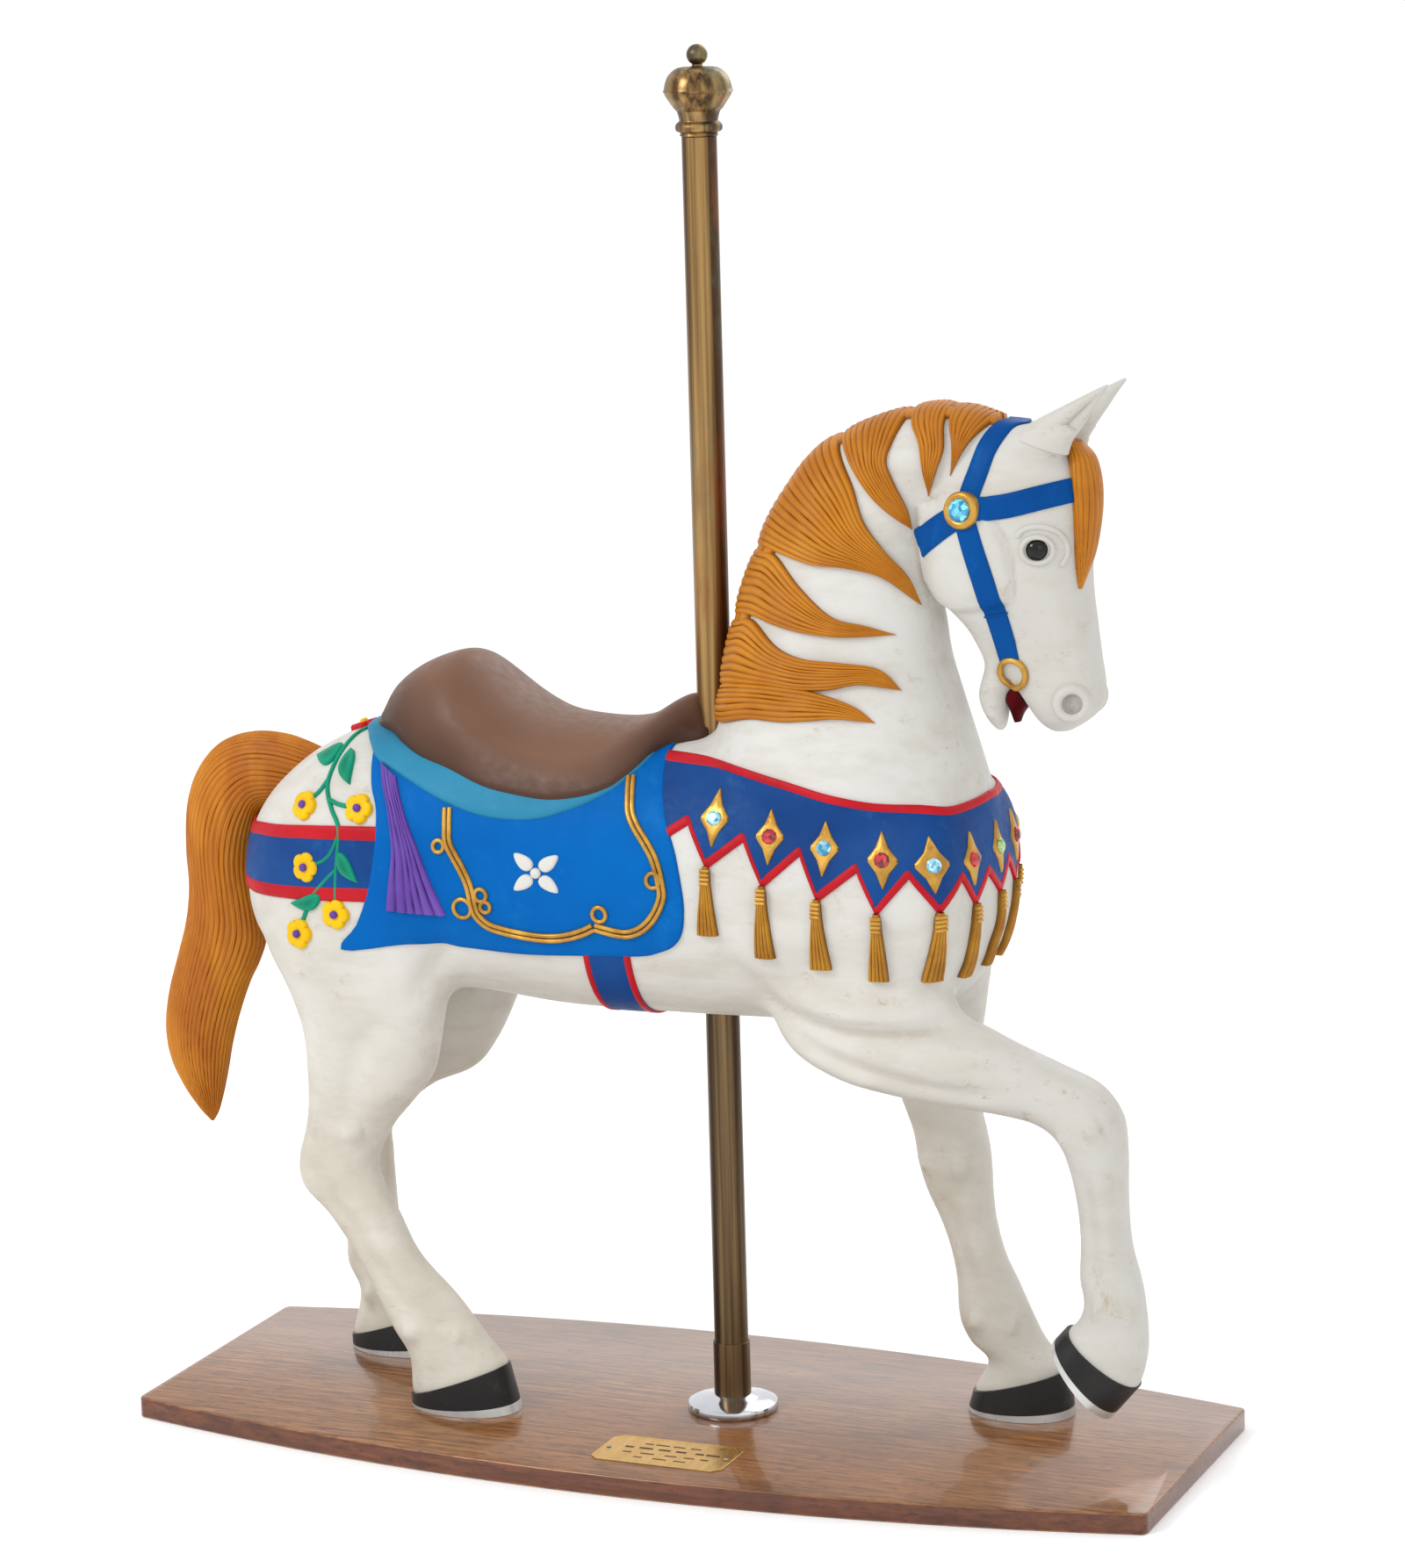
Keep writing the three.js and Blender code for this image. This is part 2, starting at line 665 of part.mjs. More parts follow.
function poleBore() {
  const radius = (POLE_DIAMETER / 2 + GAP + 0.1) / HORSE_SCALE;
  return solidFrom(turned([[0, 0], [radius, 0], [radius, POLE_TOP], [0, POLE_TOP]]).translate(POLE_X, 0, 0));
}

function carvedHorse(frames) {
  const nostrils = HANDS.map(nostril);
  const whole = join([
    barrel,
    skull,
    ...nostrils.map(({ mound }) => mound),
    ...HANDS.map((hand) => solidFrom(limb(EAR, { y: hand * EAR_Y, sides: 6 }))),
    solidFrom(limb(FORELOCK, { sides: 6 })),
    solidFrom(limb(TAIL, { sides: 8 })),
    ...LEGS.map(leg),
    solidFrom(limb(SEAT, { sides: 12, power: 2.1 })).intersect(solidFrom(prism(SADDLE_OUTLINE))),
    relief(trunk, SADDLE_RISE, SADDLE_OUTLINE),
    relief(trunk, PAD_RISE, PAD_OUTLINE),
    relief(trunk, CLOTH_RISE, BLANKET_OUTLINE),
    relief(trunk, DRAPE_RISE, DRAPE_OUTLINE, -300, 0),
    relief(trunk, STRAP_RISE, GIRTH_OUTLINE),
    relief(trunk, STRAP_RISE, CRUPPER_OUTLINE),
    breastBand(),
    ...MANE.map(({ rise, outline }) => relief(neck, rise, outline, -300, 0)),
    relief(neck, LEFT_MANE_RISE, LEFT_MANE, 0, 300),
    ...BRIDLE.map((outline) => relief(head, STRAP_RISE, outline)),
    ...frames.map(({ frame }) => solidFrom(diamond(frame))),
    ...tassels(),
    ...flowers(),
    ...HANDS.map(rosette),
    ...HANDS.map(bitRing),
  ]);
  const cuts = [
    poleBore(),
    solidFrom(prism(MOUTH)),
    ...nostrils.map(({ hole }) => hole),
    ...HANDS.map((hand) => solidFrom(eyeBall(hand, GAP))),
  ];
  return cuts.reduce((left, cut) => left.subtract(cut), whole);
}

function horseGroup() {
  const frames = jewelFrames();
  const horse = new THREE.Group();
  horse.add(named('horse', geometryFrom(carvedHorse(frames)), finish('cream', 0.6, 0)));
  for (const { name, colour, frame } of frames) {
    horse.add(named(name, stone(JEWEL_DIAMETER, frame, DIAMOND_RISE), finish(colour, 0.1, 0)));
  }
  for (const hand of HANDS) {
    const side = hand < 0 ? 'right' : 'left';
    const frame = flankFrame(headMesh, ...ROSETTE, hand);
    horse.add(named(`eye_${side}`, eyeBall(hand, 0), finish('glass', 0.05, 0)));
    const jewel = stone(ROSETTE_JEWEL_DIAMETER, frame, ROSETTE_RISE);
    horse.add(named(`rosette_jewel_${side}`, jewel, finish('aqua', 0.1, 0)));
  }
  horse.scale.setScalar(HORSE_SCALE);
  horse.position.set(POLE_X * (1 - HORSE_SCALE), 0, BOARD_THICKNESS + GAP - SOLE_LEVEL * HORSE_SCALE);
  return horse;
}

// The stand
function board() {
  const halfLength = BOARD_LENGTH / 2;
  const halfEnd = BOARD_END_WIDTH / 2;
  const c = BOARD_CORNER;
  const shape = new THREE.Shape();
  shape.moveTo(-halfLength, -halfEnd + c);
  shape.quadraticCurveTo(-halfLength, -halfEnd, -halfLength + c, -halfEnd);
  shape.quadraticCurveTo(0, -halfEnd - 2 * BOARD_BULGE, halfLength - c, -halfEnd);
  shape.quadraticCurveTo(halfLength, -halfEnd, halfLength, -halfEnd + c);
  shape.lineTo(halfLength, halfEnd - c);
  shape.quadraticCurveTo(halfLength, halfEnd, halfLength - c, halfEnd);
  shape.quadraticCurveTo(0, halfEnd + 2 * BOARD_BULGE, -halfLength + c, halfEnd);
  shape.quadraticCurveTo(-halfLength, halfEnd, -halfLength, halfEnd - c);
  const options = {
    depth: BOARD_THICKNESS - 2 * BOARD_EDGE_ROUND, curveSegments: 7, bevelEnabled: true, bevelSegments: 1,
    bevelSize: BOARD_EDGE_ROUND, bevelThickness: BOARD_EDGE_ROUND, bevelOffset: -BOARD_EDGE_ROUND,
  };
  return new THREE.ExtrudeGeometry(shape, options).translate(0, 0, BOARD_EDGE_ROUND);
}

function plaque() {
  const halfLength = PLAQUE_LENGTH / 2;
  const halfWidth = PLAQUE_WIDTH / 2;
  const clip = 10;
  const corners = [
    [-halfLength + clip, -halfWidth], [halfLength - clip, -halfWidth], [halfLength, -halfWidth + clip],
    [halfLength, halfWidth - clip], [halfLength - clip, halfWidth], [-halfLength + clip, halfWidth],
    [-halfLength, halfWidth - clip], [-halfLength, -halfWidth + clip],
  ];
  const shape = new THREE.Shape(corners.map(([x, y]) => new THREE.Vector2(x, y)));
  return new THREE.ExtrudeGeometry(shape, { depth: PLAQUE_THICKNESS, bevelEnabled: false });
}

function screwHead() {
  const radius = SCREW_DIAMETER / 2;
  return turned([[0, 0], [radius, 0], [radius * 0.7, SCREW_HEIGHT * 0.8], [0, SCREW_HEIGHT]], 8);
}

function flange() {
  const hole = POLE_DIAMETER / 2 + GAP;
  const sleeve = hole + SLEEVE_WALL;
  const rim = FLANGE_DIAMETER / 2;
  return turned([
    [hole, 0], [rim - 1, 0], [rim, 1.5], [rim, FLANGE_RIM - 3], [rim - 2.5, FLANGE_RIM],
    [sleeve + 8, FLANGE_RIM + 5], [sleeve, FLANGE_HEIGHT], [hole, FLANGE_HEIGHT], [hole, 0],
  ]);
}

function finial() {
  const r = FINIAL_DIAMETER / 2;
  const h = FINIAL_HEIGHT;
  const foot = POLE_DIAMETER / 2;
  const profile = [
    [0, 0], [foot + 0.5, 0], [0.67 * r, 0.08 * h], [foot + 2, 0.17 * h], [0.61 * r, 0.27 * h],
    [0.91 * r, 0.43 * h], [r, 0.49 * h], [0.93 * r, 0.58 * h], [0.82 * r, 0.67 * h], [0.56 * r, 0.75 * h],
    [0.2 * r, 0.755 * h],
  ];
  const ball = 0.3 * r;
  const centre = h - ball;
  for (let degrees = -50; degrees <= 90; degrees += 35) {
    const angle = (degrees * Math.PI) / 180;
    profile.push([degrees >= 90 ? 0 : ball * Math.cos(angle), centre + ball * Math.sin(angle)]);
  }
  return turned(profile, 14);
}

function standGroup() {
  const stand = new THREE.Group();
  const top = BOARD_THICKNESS + GAP;
  stand.add(named('base_board', board(), finish('veneer', 0.25, 0)));
  const fittings = new THREE.Group();
  fittings.position.set(POLE_X, 0, top);
  const inner = POLE_DIAMETER / 2 + GAP;
  const sleeveLow = FLANGE_HEIGHT + GAP;
  fittings.add(named('floor_flange', flange(), finish('chrome', 0.12, 1)));
  const sleeve = turnedRing(inner, inner + SLEEVE_WALL, sleeveLow, sleeveLow + SLEEVE_HEIGHT);
  fittings.add(named('pole_sleeve', sleeve, finish('brass', 0.35, 1)));
  const outer = POLE_DIAMETER / 2;
  const tube = turnedRing(outer - POLE_WALL, outer, 0, POLE_TOP - top);
  fittings.add(named('pole', tube, finish('brass', 0.35, 1)));
  fittings.add(named('finial', finial().translate(0, 0, POLE_TOP - top + GAP), finish('brass', 0.35, 1)));
  stand.add(fittings);
  const plate = new THREE.Group();
  plate.position.set(PLAQUE_X, PLAQUE_Y, top);
  plate.add(named('plaque', plaque(), finish('plaque', 0.3, 1)));
  HANDS.forEach((hand, i) => {
    const head = screwHead().translate(hand * (PLAQUE_LENGTH / 2 - 8), 0, PLAQUE_THICKNESS + GAP);
    plate.add(named(`plaque_screw_${i + 1}`, head, finish('steel', 0.4, 1)));
  });
  stand.add(plate);
  return stand;
}

const model = new THREE.Group();
model.add(standGroup(), horseGroup());

export default model;
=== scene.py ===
import math

import bpy
import numpy as np
from mathutils import Matrix, Vector
from mathutils.bvhtree import BVHTree
from mathutils.geometry import delaunay_2d_cdt


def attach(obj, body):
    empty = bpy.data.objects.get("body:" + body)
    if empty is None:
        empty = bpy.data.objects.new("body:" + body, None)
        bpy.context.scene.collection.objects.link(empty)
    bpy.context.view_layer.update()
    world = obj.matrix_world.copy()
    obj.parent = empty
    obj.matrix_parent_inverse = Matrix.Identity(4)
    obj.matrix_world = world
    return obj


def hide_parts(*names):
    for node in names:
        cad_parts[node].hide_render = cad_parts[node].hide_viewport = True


# Carousel horse on its display stand. Shapes are in millimetres until a mesh is made.
# +X is to the head, +Y to the horse's left, +Z up, from the centre of the board's underside.

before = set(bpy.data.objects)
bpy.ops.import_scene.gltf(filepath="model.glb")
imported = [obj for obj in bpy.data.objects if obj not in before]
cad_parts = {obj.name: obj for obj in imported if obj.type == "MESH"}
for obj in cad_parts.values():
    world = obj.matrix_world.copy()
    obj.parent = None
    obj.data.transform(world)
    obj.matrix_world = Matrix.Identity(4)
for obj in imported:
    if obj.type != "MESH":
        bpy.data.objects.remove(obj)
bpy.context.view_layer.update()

MM = 0.001
# The gap between the board and what stands on it
LIFT = 0.3
# Where rays to the body start, and a length next to nothing
FAR = 320
TINY = 1e-12
FULL_TURN = 2 * math.pi
# The right side and the left side
HANDS = (-1, 1)
# Values in a full row of a carved form
ROW_LENGTH = 6

# Carved forms: rows of [x1, z1, x2, z2, half width, y], the two edges of the side outline
TRUNK = [
    [-512, 642, -512, 606, 14], [-503, 672, -503, 562, 50], [-485, 706, -485, 530, 80],
    [-455, 738, -455, 508, 105], [-410, 770, -410, 496, 125], [-350, 793, -350, 494, 137],
    [-250, 800, -240, 498, 140], [-120, 796, -120, 488, 138], [0, 798, 0, 487, 136],
    [100, 800, 100, 488, 136], [200, 795, 200, 490, 136], [285, 790, 285, 498, 135],
    [340, 778, 340, 522, 134], [360, 762, 360, 548, 126], [371, 746, 371, 566, 108],
    [378, 722, 378, 588, 82], [384, 696, 384, 604, 48], [387, 672, 387, 622, 18],
]
NECK = [
    [66, 690, 372, 640, 112], [68, 770, 382, 712, 122], [70, 815, 372, 772, 108],
    [80, 862, 352, 840, 92], [92, 915, 335, 895, 78], [106, 965, 330, 935, 70],
    [128, 1018, 324, 965, 64], [158, 1068, 320, 1000, 60], [199, 1117, 322, 1030, 57],
    [250, 1144, 332, 1050, 54], [310, 1162, 350, 1060, 50], [362, 1165, 380, 1070, 45],
    [400, 1152, 402, 1090, 36],
]
HEAD = [
    [392, 1156, 448, 1148, 26], [362, 1134, 478, 1118, 46], [334, 1104, 490, 1096, 56],
    [318, 1070, 495, 1066, 61], [312, 1034, 496, 1034, 62], [313, 1000, 495, 1004, 60],
    [322, 968, 496, 976, 56], [345, 945, 499, 950, 50], [368, 920, 503, 922, 43],
    [388, 896, 507, 895, 38], [408, 874, 510, 872, 37], [424, 852, 506, 850, 36],
    [436, 834, 490, 834, 28], [450, 822, 470, 822, 12],
]
JAW = [
    [352, 944, 420, 930, 36], [368, 914, 420, 900, 31], [378, 894, 416, 884, 28],
    [372, 874, 408, 868, 28], [367, 856, 402, 850, 27], [376, 832, 401, 829, 23],
    [386, 818, 401, 817, 15], [391, 812, 399, 812, 9],
]
EAR_Y = 30
EAR = [
    [424, 1140, 482, 1122, 15], [440, 1154, 486, 1134, 15], [462, 1166, 496, 1148, 13],
    [486, 1178, 508, 1166, 9], [508, 1189, 518, 1182, 5], [525, 1197, 527, 1195, 1],
]
FORELOCK = [
    [468, 1136, 486, 1133, 12, 0], [474, 1118, 501, 1118, 22, -2], [476, 1095, 508, 1095, 28, -4],
    [478, 1068, 510, 1068, 28, -6], [480, 1040, 508, 1040, 25, -9], [482, 1015, 504, 1015, 19, -13],
    [486, 995, 498, 995, 11, -18], [488, 980, 493, 980, 3, -22],
]
TAIL = [
    [-425, 758, -460, 690, 24], [-470, 772, -490, 690, 31], [-515, 774, -507, 684, 35],
    [-557, 760, -514, 664, 37], [-586, 730, -520, 636, 38], [-602, 690, -522, 600, 38],
    [-607, 640, -516, 560, 37], [-606, 592, -514, 528, 36], [-612, 550, -524, 500, 35],
    [-625, 508, -538, 474, 34], [-640, 462, -553, 436, 32], [-647, 420, -564, 400, 29],
    [-643, 382, -571, 368, 24], [-628, 348, -578, 340, 17], [-610, 322, -585, 318, 9],
    [-596, 307, -592, 306, 2],
]
LEGS = {
    "hind_right": (-86, [
        [-470, 625, -235, 625, 36], [-474, 590, -226, 590, 46], [-460, 545, -228, 545, 50],
        [-436, 500, -238, 496, 50], [-420, 455, -248, 452, 47], [-416, 415, -260, 410, 43],
        [-416, 375, -290, 372, 38], [-420, 342, -314, 344, 33], [-432, 300, -334, 302, 30],
        [-428, 268, -326, 272, 28], [-398, 238, -309, 242, 25], [-368, 196, -285, 196, 23],
        [-344, 152, -240, 152, 24], [-322, 110, -208, 112, 28], [-301, 78, -188, 88, 32],
        [-298, 36, -180, 80, 38], [-288, 29, -186, 58, 34],
    ], [[-299, 34, -180, 78, 41], [-298, 24, -167, 24, 46]]),
    "hind_left": (86, [
        [-470, 625, -235, 625, 36], [-478, 590, -216, 590, 46], [-474, 545, -212, 545, 50],
        [-466, 500, -219, 496, 50], [-462, 455, -234, 458, 46], [-466, 415, -258, 414, 42],
        [-478, 380, -290, 374, 37], [-492, 345, -348, 347, 32], [-503, 304, -400, 300, 29],
        [-494, 262, -403, 262, 26], [-472, 215, -401, 215, 23], [-466, 165, -398, 165, 23],
        [-466, 125, -390, 118, 26], [-450, 90, -372, 94, 28], [-462, 38, -346, 78, 36],
        [-452, 30, -350, 56, 33],
    ], [[-463, 36, -346, 76, 39], [-462, 24, -331, 24, 45]]),
    "fore_right": (-84, [
        [170, 575, 240, 635, 26], [150, 522, 300, 605, 42], [176, 472, 345, 570, 46],
        [230, 443, 372, 530, 46], [295, 430, 402, 512, 44], [360, 423, 436, 496, 40],
        [420, 418, 482, 478, 37], [458, 411, 528, 458, 36], [482, 394, 552, 426, 36],
        [494, 365, 557, 386, 33], [502, 325, 557, 335, 29], [505, 285, 561, 285, 27],
        [503, 246, 572, 246, 26], [508, 218, 577, 210, 26], [500, 196, 578, 168, 29],
        [489, 187, 568, 131, 34], [490, 170, 556, 118, 32],
    ], [[487, 188, 568, 129, 37], [473, 172, 537, 92, 43]]),
    "fore_left": (96, [
        [185, 600, 345, 600, 36], [190, 540, 345, 545, 42], [203, 480, 336, 490, 44],
        [220, 420, 326, 430, 40], [236, 375, 326, 378, 35], [248, 340, 335, 338, 31],
        [253, 308, 339, 306, 30], [262, 276, 340, 276, 27], [279, 240, 344, 240, 25],
        [291, 205, 354, 202, 25], [297, 170, 370, 170, 26], [299, 130, 388, 130, 29],
        [312, 102, 404, 102, 31], [334, 82, 420, 90, 32], [316, 47, 426, 80, 37],
        [324, 34, 420, 60, 34],
    ], [[315, 45, 427, 78, 40], [309, 24, 432, 24, 46]]),
}
SEAT = [
    [-338, 815, -330, 740, 26], [-326, 838, -322, 715, 56], [-292, 864, -292, 700, 82],
    [-252, 880, -252, 690, 97], [-228, 881, -228, 690, 102], [-204, 864, -204, 690, 106],
    [-172, 838, -172, 690, 110], [-130, 817, -130, 690, 113], [-60, 809, -60, 690, 113],
    [-12, 819, -12, 690, 98], [18, 838, 18, 690, 68], [46, 852, 46, 700, 30],
    [56, 854, 56, 740, 16],
]


# Curves and lofts
def spline(points, steps, closed=False):
    # A smooth curve through the points, in so many steps from each to the next
    points = np.asarray(points, float)
    count = len(points)
    result = []
    for i in range(count if closed else count - 1):
        ids = range(i - 1, i + 3)
        ids = [k % count if closed else min(max(k, 0), count - 1) for k in ids]
        before, start, end, after = points[ids]
        for k in range(steps):
            t = k / steps
            result.append(
                start
                + 0.5 * t * (end - before)
                + t * t * (before - 2.5 * start + 2 * end - 0.5 * after)
                + t ** 3 * (-0.5 * before + 1.5 * start - 1.5 * end + 0.5 * after)
            )
    if not closed:
        result.append(points[-1])
    return np.array(result)


def evenly(points, count):
    # So many places along a path, equally far apart
    lengths = np.concatenate([[0], np.cumsum(np.linalg.norm(np.diff(points, axis=0), axis=1))])
    wanted = np.linspace(0, lengths[-1], count)
    return np.stack([np.interp(wanted, lengths, points[:, k]) for k in range(points.shape[1])], 1)


def resampled(points, spacing, closed=False):
    path = np.vstack([points, points[:1]]) if closed else points
    length = np.cumsum(np.linalg.norm(np.diff(path, axis=0), axis=1))[-1]
    count = max(int(math.ceil(length / spacing)), 3)
    places = evenly(path, count + 1)
    return places[:-1] if closed else places


def cornered(points, spacing):
    # Points along the straight edges of a closed outline, with every corner kept
    points = [np.asarray(p, float) for p in points]
    result = []
    for start, end in zip(points, points[1:] + points[:1]):
        count = max(int(round(np.linalg.norm(end - start) / spacing)), 1)
        result.extend(start + (end - start) * k / count for k in range(count))
    return np.array(result)


def unit(vectors):
    return vectors / (np.linalg.norm(vectors, axis=-1, keepdims=True) + TINY)


def rounded(value, power):
    # Bends a round section towards a square one
    return np.sign(value) * np.abs(value) ** (2 / power)


def full_rows(rows):
    # Rows with their y filled in, which is 0 where it isn't given
    return np.array([list(row) + [0] * (ROW_LENGTH - len(row)) for row in rows], float)


def loft_points(rows, y=0, sides=48, power=2.2, steps=6):
    rings = spline(full_rows(rows), steps)
    angle = np.linspace(0, FULL_TURN, sides, endpoint=False)
    along = rounded(np.cos(angle), power)
    across = rounded(np.sin(angle), power)
    points = np.empty((len(rings), sides, 3))
    for axis, first, second in ((0, 0, 2), (2, 1, 3)):
        middle = (rings[:, first] + rings[:, second]) / 2
        half = (rings[:, first] - rings[:, second]) / 2
        points[:, :, axis] = middle[:, None] + half[:, None] * along
    points[:, :, 1] = y + rings[:, 5, None] + rings[:, 4, None] * across
    return points


def tube_faces(rings, sides, capped=True):
    faces = []
    for i in range(rings - 1):
        for k in range(sides):
            a = i * sides + k
            b = i * sides + (k + 1) % sides
            faces.append((a, b, b + sides, a + sides))
    if capped:
        faces.append(tuple(range(sides))[::-1])
        faces.append(tuple((rings - 1) * sides + k for k in range(sides)))
    return faces


def grid_faces(rows, columns):
    faces = []
    for i in range(rows - 1):
        for k in range(columns - 1):
            a = i * columns + k
            faces.append((a, a + 1, a + columns + 1, a + columns))
    return faces


def tube(points):
    # Points and faces of a closed form from its rings
    flat = points.reshape(-1, 3)
    return flat, outward(flat, tube_faces(*points.shape[:2]))


def loft(rows, **options):
    return tube(loft_points(rows, **options))


def joined(parts):
    points, faces, start = [], [], 0
    for part_points, part_faces in parts:
        points.append(part_points)
        faces += [tuple(start + k for k in face) for face in part_faces]
        start += len(part_points)
    return np.concatenate(points), faces


def outward(points, faces):
    # Turns all faces over if they look inwards
    volume = 0
    for face in faces:
        for k in range(1, len(face) - 1):
            a, b, c = points[face[0]], points[face[k]], points[face[k + 1]]
            volume += float(np.dot(a, np.cross(b, c)))
    return [face[::-1] for face in faces] if volume < 0 else faces


# A surface that other things are laid on. The gap keeps the weight of a near corner finite
CORNER_GAP = 0.3


class Surface:
    def __init__(self, points, faces):
        self.points = points
        self.faces = faces
        self.tree = BVHTree.FromPolygons(points.tolist(), faces.tolist())
        self.normals = vertex_normals(points, faces)

    def settle(self, found):
        # Places and smooth normals, from places and the numbers of their faces
        places = np.array([tuple(place) for place, _ in found])
        corners = self.faces[[index for _, index in found]]
        gaps = np.linalg.norm(self.points[corners] - places[:, None], axis=2)
        weights = 1 / (gaps + CORNER_GAP) ** 2
        return places, unit((self.normals[corners] * weights[..., None]).sum(1))

    def nearest(self, points):
        found = []
        for point in points:
            place, _, index, _ = self.tree.find_nearest(Vector(point))
            found.append((place, index))
        return self.settle(found)

    def cast(self, origins, directions, depth):
        # Where rays meet the surface; one that misses takes the place nearest to the given depth
        found = []
        for origin, direction in zip(origins, directions):
            place, _, index, _ = self.tree.ray_cast(Vector(origin), Vector(direction), FAR * 2)
            if place is None:
                place, _, index, _ = self.tree.find_nearest(Vector(origin + direction * depth))
            found.append((place, index))
        return self.settle(found)


def vertex_normals(points, faces):
    across = points[faces[:, 2]] - points[faces[:, 0]]
    over = points[faces[:, -1]] - points[faces[:, 1]]
    flat = np.cross(across, over)
    normals = np.zeros_like(points)
    for k in range(faces.shape[1]):
        for axis in range(3):
            normals[:, axis] += np.bincount(faces[:, k], flat[:, axis], len(points))
    return unit(normals)


# The body: lofts joined into one skin, softened where limbs meet
VOXEL = 4.4
# Places that are softened, as x, y, z, radius and how many passes
SOFT_PLACES = [
    (-60, 0, 760, 220, 30), (-220, 0, 770, 200, 30),
    (-350, -100, 590, 150, 60), (-350, 100, 590, 150, 60), (-235, -100, 530, 110, 60),
    (-235, 100, 530, 110, 60), (230, -90, 560, 130, 70), (270, 96, 560, 120, 70),
    (225, -110, 790, 120, 60), (225, 110, 790, 120, 60), (340, 0, 780, 110, 60),
    (90, 0, 800, 90, 50), (330, 0, 1060, 70, 40), (390, 0, 1150, 60, 30),
    (-420, -60, 500, 90, 50), (-420, 60, 500, 90, 50), (380, 0, 930, 50, 20),
    (325, -50, 1060, 60, 40), (325, 50, 1060, 60, 40), (450, -25, 1140, 40, 20),
    (450, 25, 1140, 40, 20), (300, -60, 500, 110, 40), (150, -90, 520, 90, 40),
]
# Swellings and hollows, as x, y, z, radius and height along the surface
MODELLING = [
    (270, 650, 70, 7), (215, 590, 60, 5), (-370, 560, 80, 6), (-280, 600, 60, 4),
    (150, 540, 70, -3), (-160, 520, 80, -4), (300, 880, 60, 3), (250, 760, 60, 3),
    (330, 1000, 30, 3), (430, 930, 40, -3), (475, 940, 30, 2), (420, 1000, 40, -1.5),
]
# Carved folds and muscles of the right side: a line of x, z, its half width and its height
FOLDS = [
    ([(150, 524), (229, 509), (280, 506), (330, 509), (370, 519), (410, 542)], 12, -11),
    ([(190, 540), (240, 526), (290, 523), (345, 530)], 13, 5),
    ([(170, 508), (231, 475), (291, 457), (361, 445), (430, 448)], 12, -8),
    ([(180, 488), (250, 457), (320, 438), (380, 430)], 12, 4),
    ([(-300, 480), (-330, 440), (-345, 400), (-350, 350)], 16, -5),
    ([(-262, 505), (-240, 540), (-215, 580)], 14, -6),
    ([(105, 585), (140, 545), (175, 512)], 16, -6),
]
# How far a point moves to its neighbours in a pass, and the passes of the whole skin
EVENING = 0.6
LEAST_PASSES = 5.0
# Share of a fold's height at its ends, and the middle of the horse that folds leave out
END_SHARE = 0.25
MIDDLE_HALF = 20
# Row of the knee or hock and row of the fetlock in each leg
LEG_JOINTS = {"hind_right": (7, 13), "hind_left": (8, 13), "fore_right": (8, 13), "fore_left": (6, 11)}
CHEEK = [
    (318, 1068), (353, 1080), (400, 1075), (425, 1030), (430, 990), (427, 968), (393, 957),
    (358, 951), (330, 955), (316, 985), (310, 1035),
]
CHEEK_RISE = 6
CHEEK_EDGE = 7
# Along the shank: share between its edges, half width and height
SHANK_LINES = [(0.34, 11, -4.5), (0.68, 12, 2.5)]
# Across a joint: first and last share between its edges, half width and height
JOINT_BUMPS = [(0.56, 0.8, 13, 7), (0.12, 0.26, 10, 5)]
FETLOCK_BUMPS = [(0.2, 0.4, 11, 7), (0.74, 0.86, 10, 4)]


def skin():
    # One closed skin over the lofts of the body
    parts = [
        loft(TRUNK, sides=64, power=2.3), loft(NECK, sides=56, power=2.1),
        loft(HEAD, sides=56, power=2.3), loft(JAW, sides=40, power=2.1),
    ]
    parts += [loft(EAR[:3], y=hand * EAR_Y, sides=24, steps=4) for hand in HANDS]
    parts += [loft(rows, y=y, sides=36, power=2.1) for y, rows, _ in LEGS.values()]
    points, faces = joined(parts)
    mesh = bpy.data.meshes.new("skin")
    mesh.from_pydata((points * MM).tolist(), [], faces)
    holder = bpy.data.objects.new("skin", mesh)
    bpy.context.scene.collection.objects.link(holder)
    modifier = holder.modifiers.new("skin", "REMESH")
    modifier.mode = "VOXEL"
    modifier.voxel_size = VOXEL * MM
    graph = bpy.context.evaluated_depsgraph_get()
    made = bpy.data.meshes.new_from_object(holder.evaluated_get(graph))
    bpy.data.objects.remove(holder)
    places = np.empty(len(made.vertices) * 3)
    made.vertices.foreach_get("co", places)
    corners = np.empty(len(made.loops), int)
    made.loops.foreach_get("vertex_index", corners)
    return places.reshape(-1, 3) / MM, corners.reshape(-1, 4)


def neighbour_pairs(faces):
    # The ends of every edge, once in each direction
    sides = faces.shape[1]
    pairs = np.concatenate([faces[:, [k, (k + 1) % sides]] for k in range(sides)])
    pairs = np.unique(np.sort(pairs, axis=1), axis=0)
    return np.concatenate([pairs, pairs[:, ::-1]]).T


def evened(points, faces, strengths):
    # Draws points to the middle of their neighbours, once for each array of strengths
    ends, others = neighbour_pairs(faces)
    degree = np.maximum(np.bincount(ends, minlength=len(points)), 1)[:, None]
    for strength in strengths:
        sums = [np.bincount(ends, points[others, axis], len(points)) for axis in range(3)]
        points = points + EVENING * strength[:, None] * (np.stack(sums, 1) / degree - points)
    return points


def softened(points, faces):
    passes = np.full(len(points), LEAST_PASSES)
    for x, y, z, radius, count in SOFT_PLACES:
        gap = np.linalg.norm(points - [x, y, z], axis=1) / radius
        passes = np.maximum(passes, count * np.clip(1.2 - gap, 0, 1))
    strengths = (np.clip(passes - number, 0, 1) for number in range(int(passes.max())))
    return evened(points, faces, strengths)


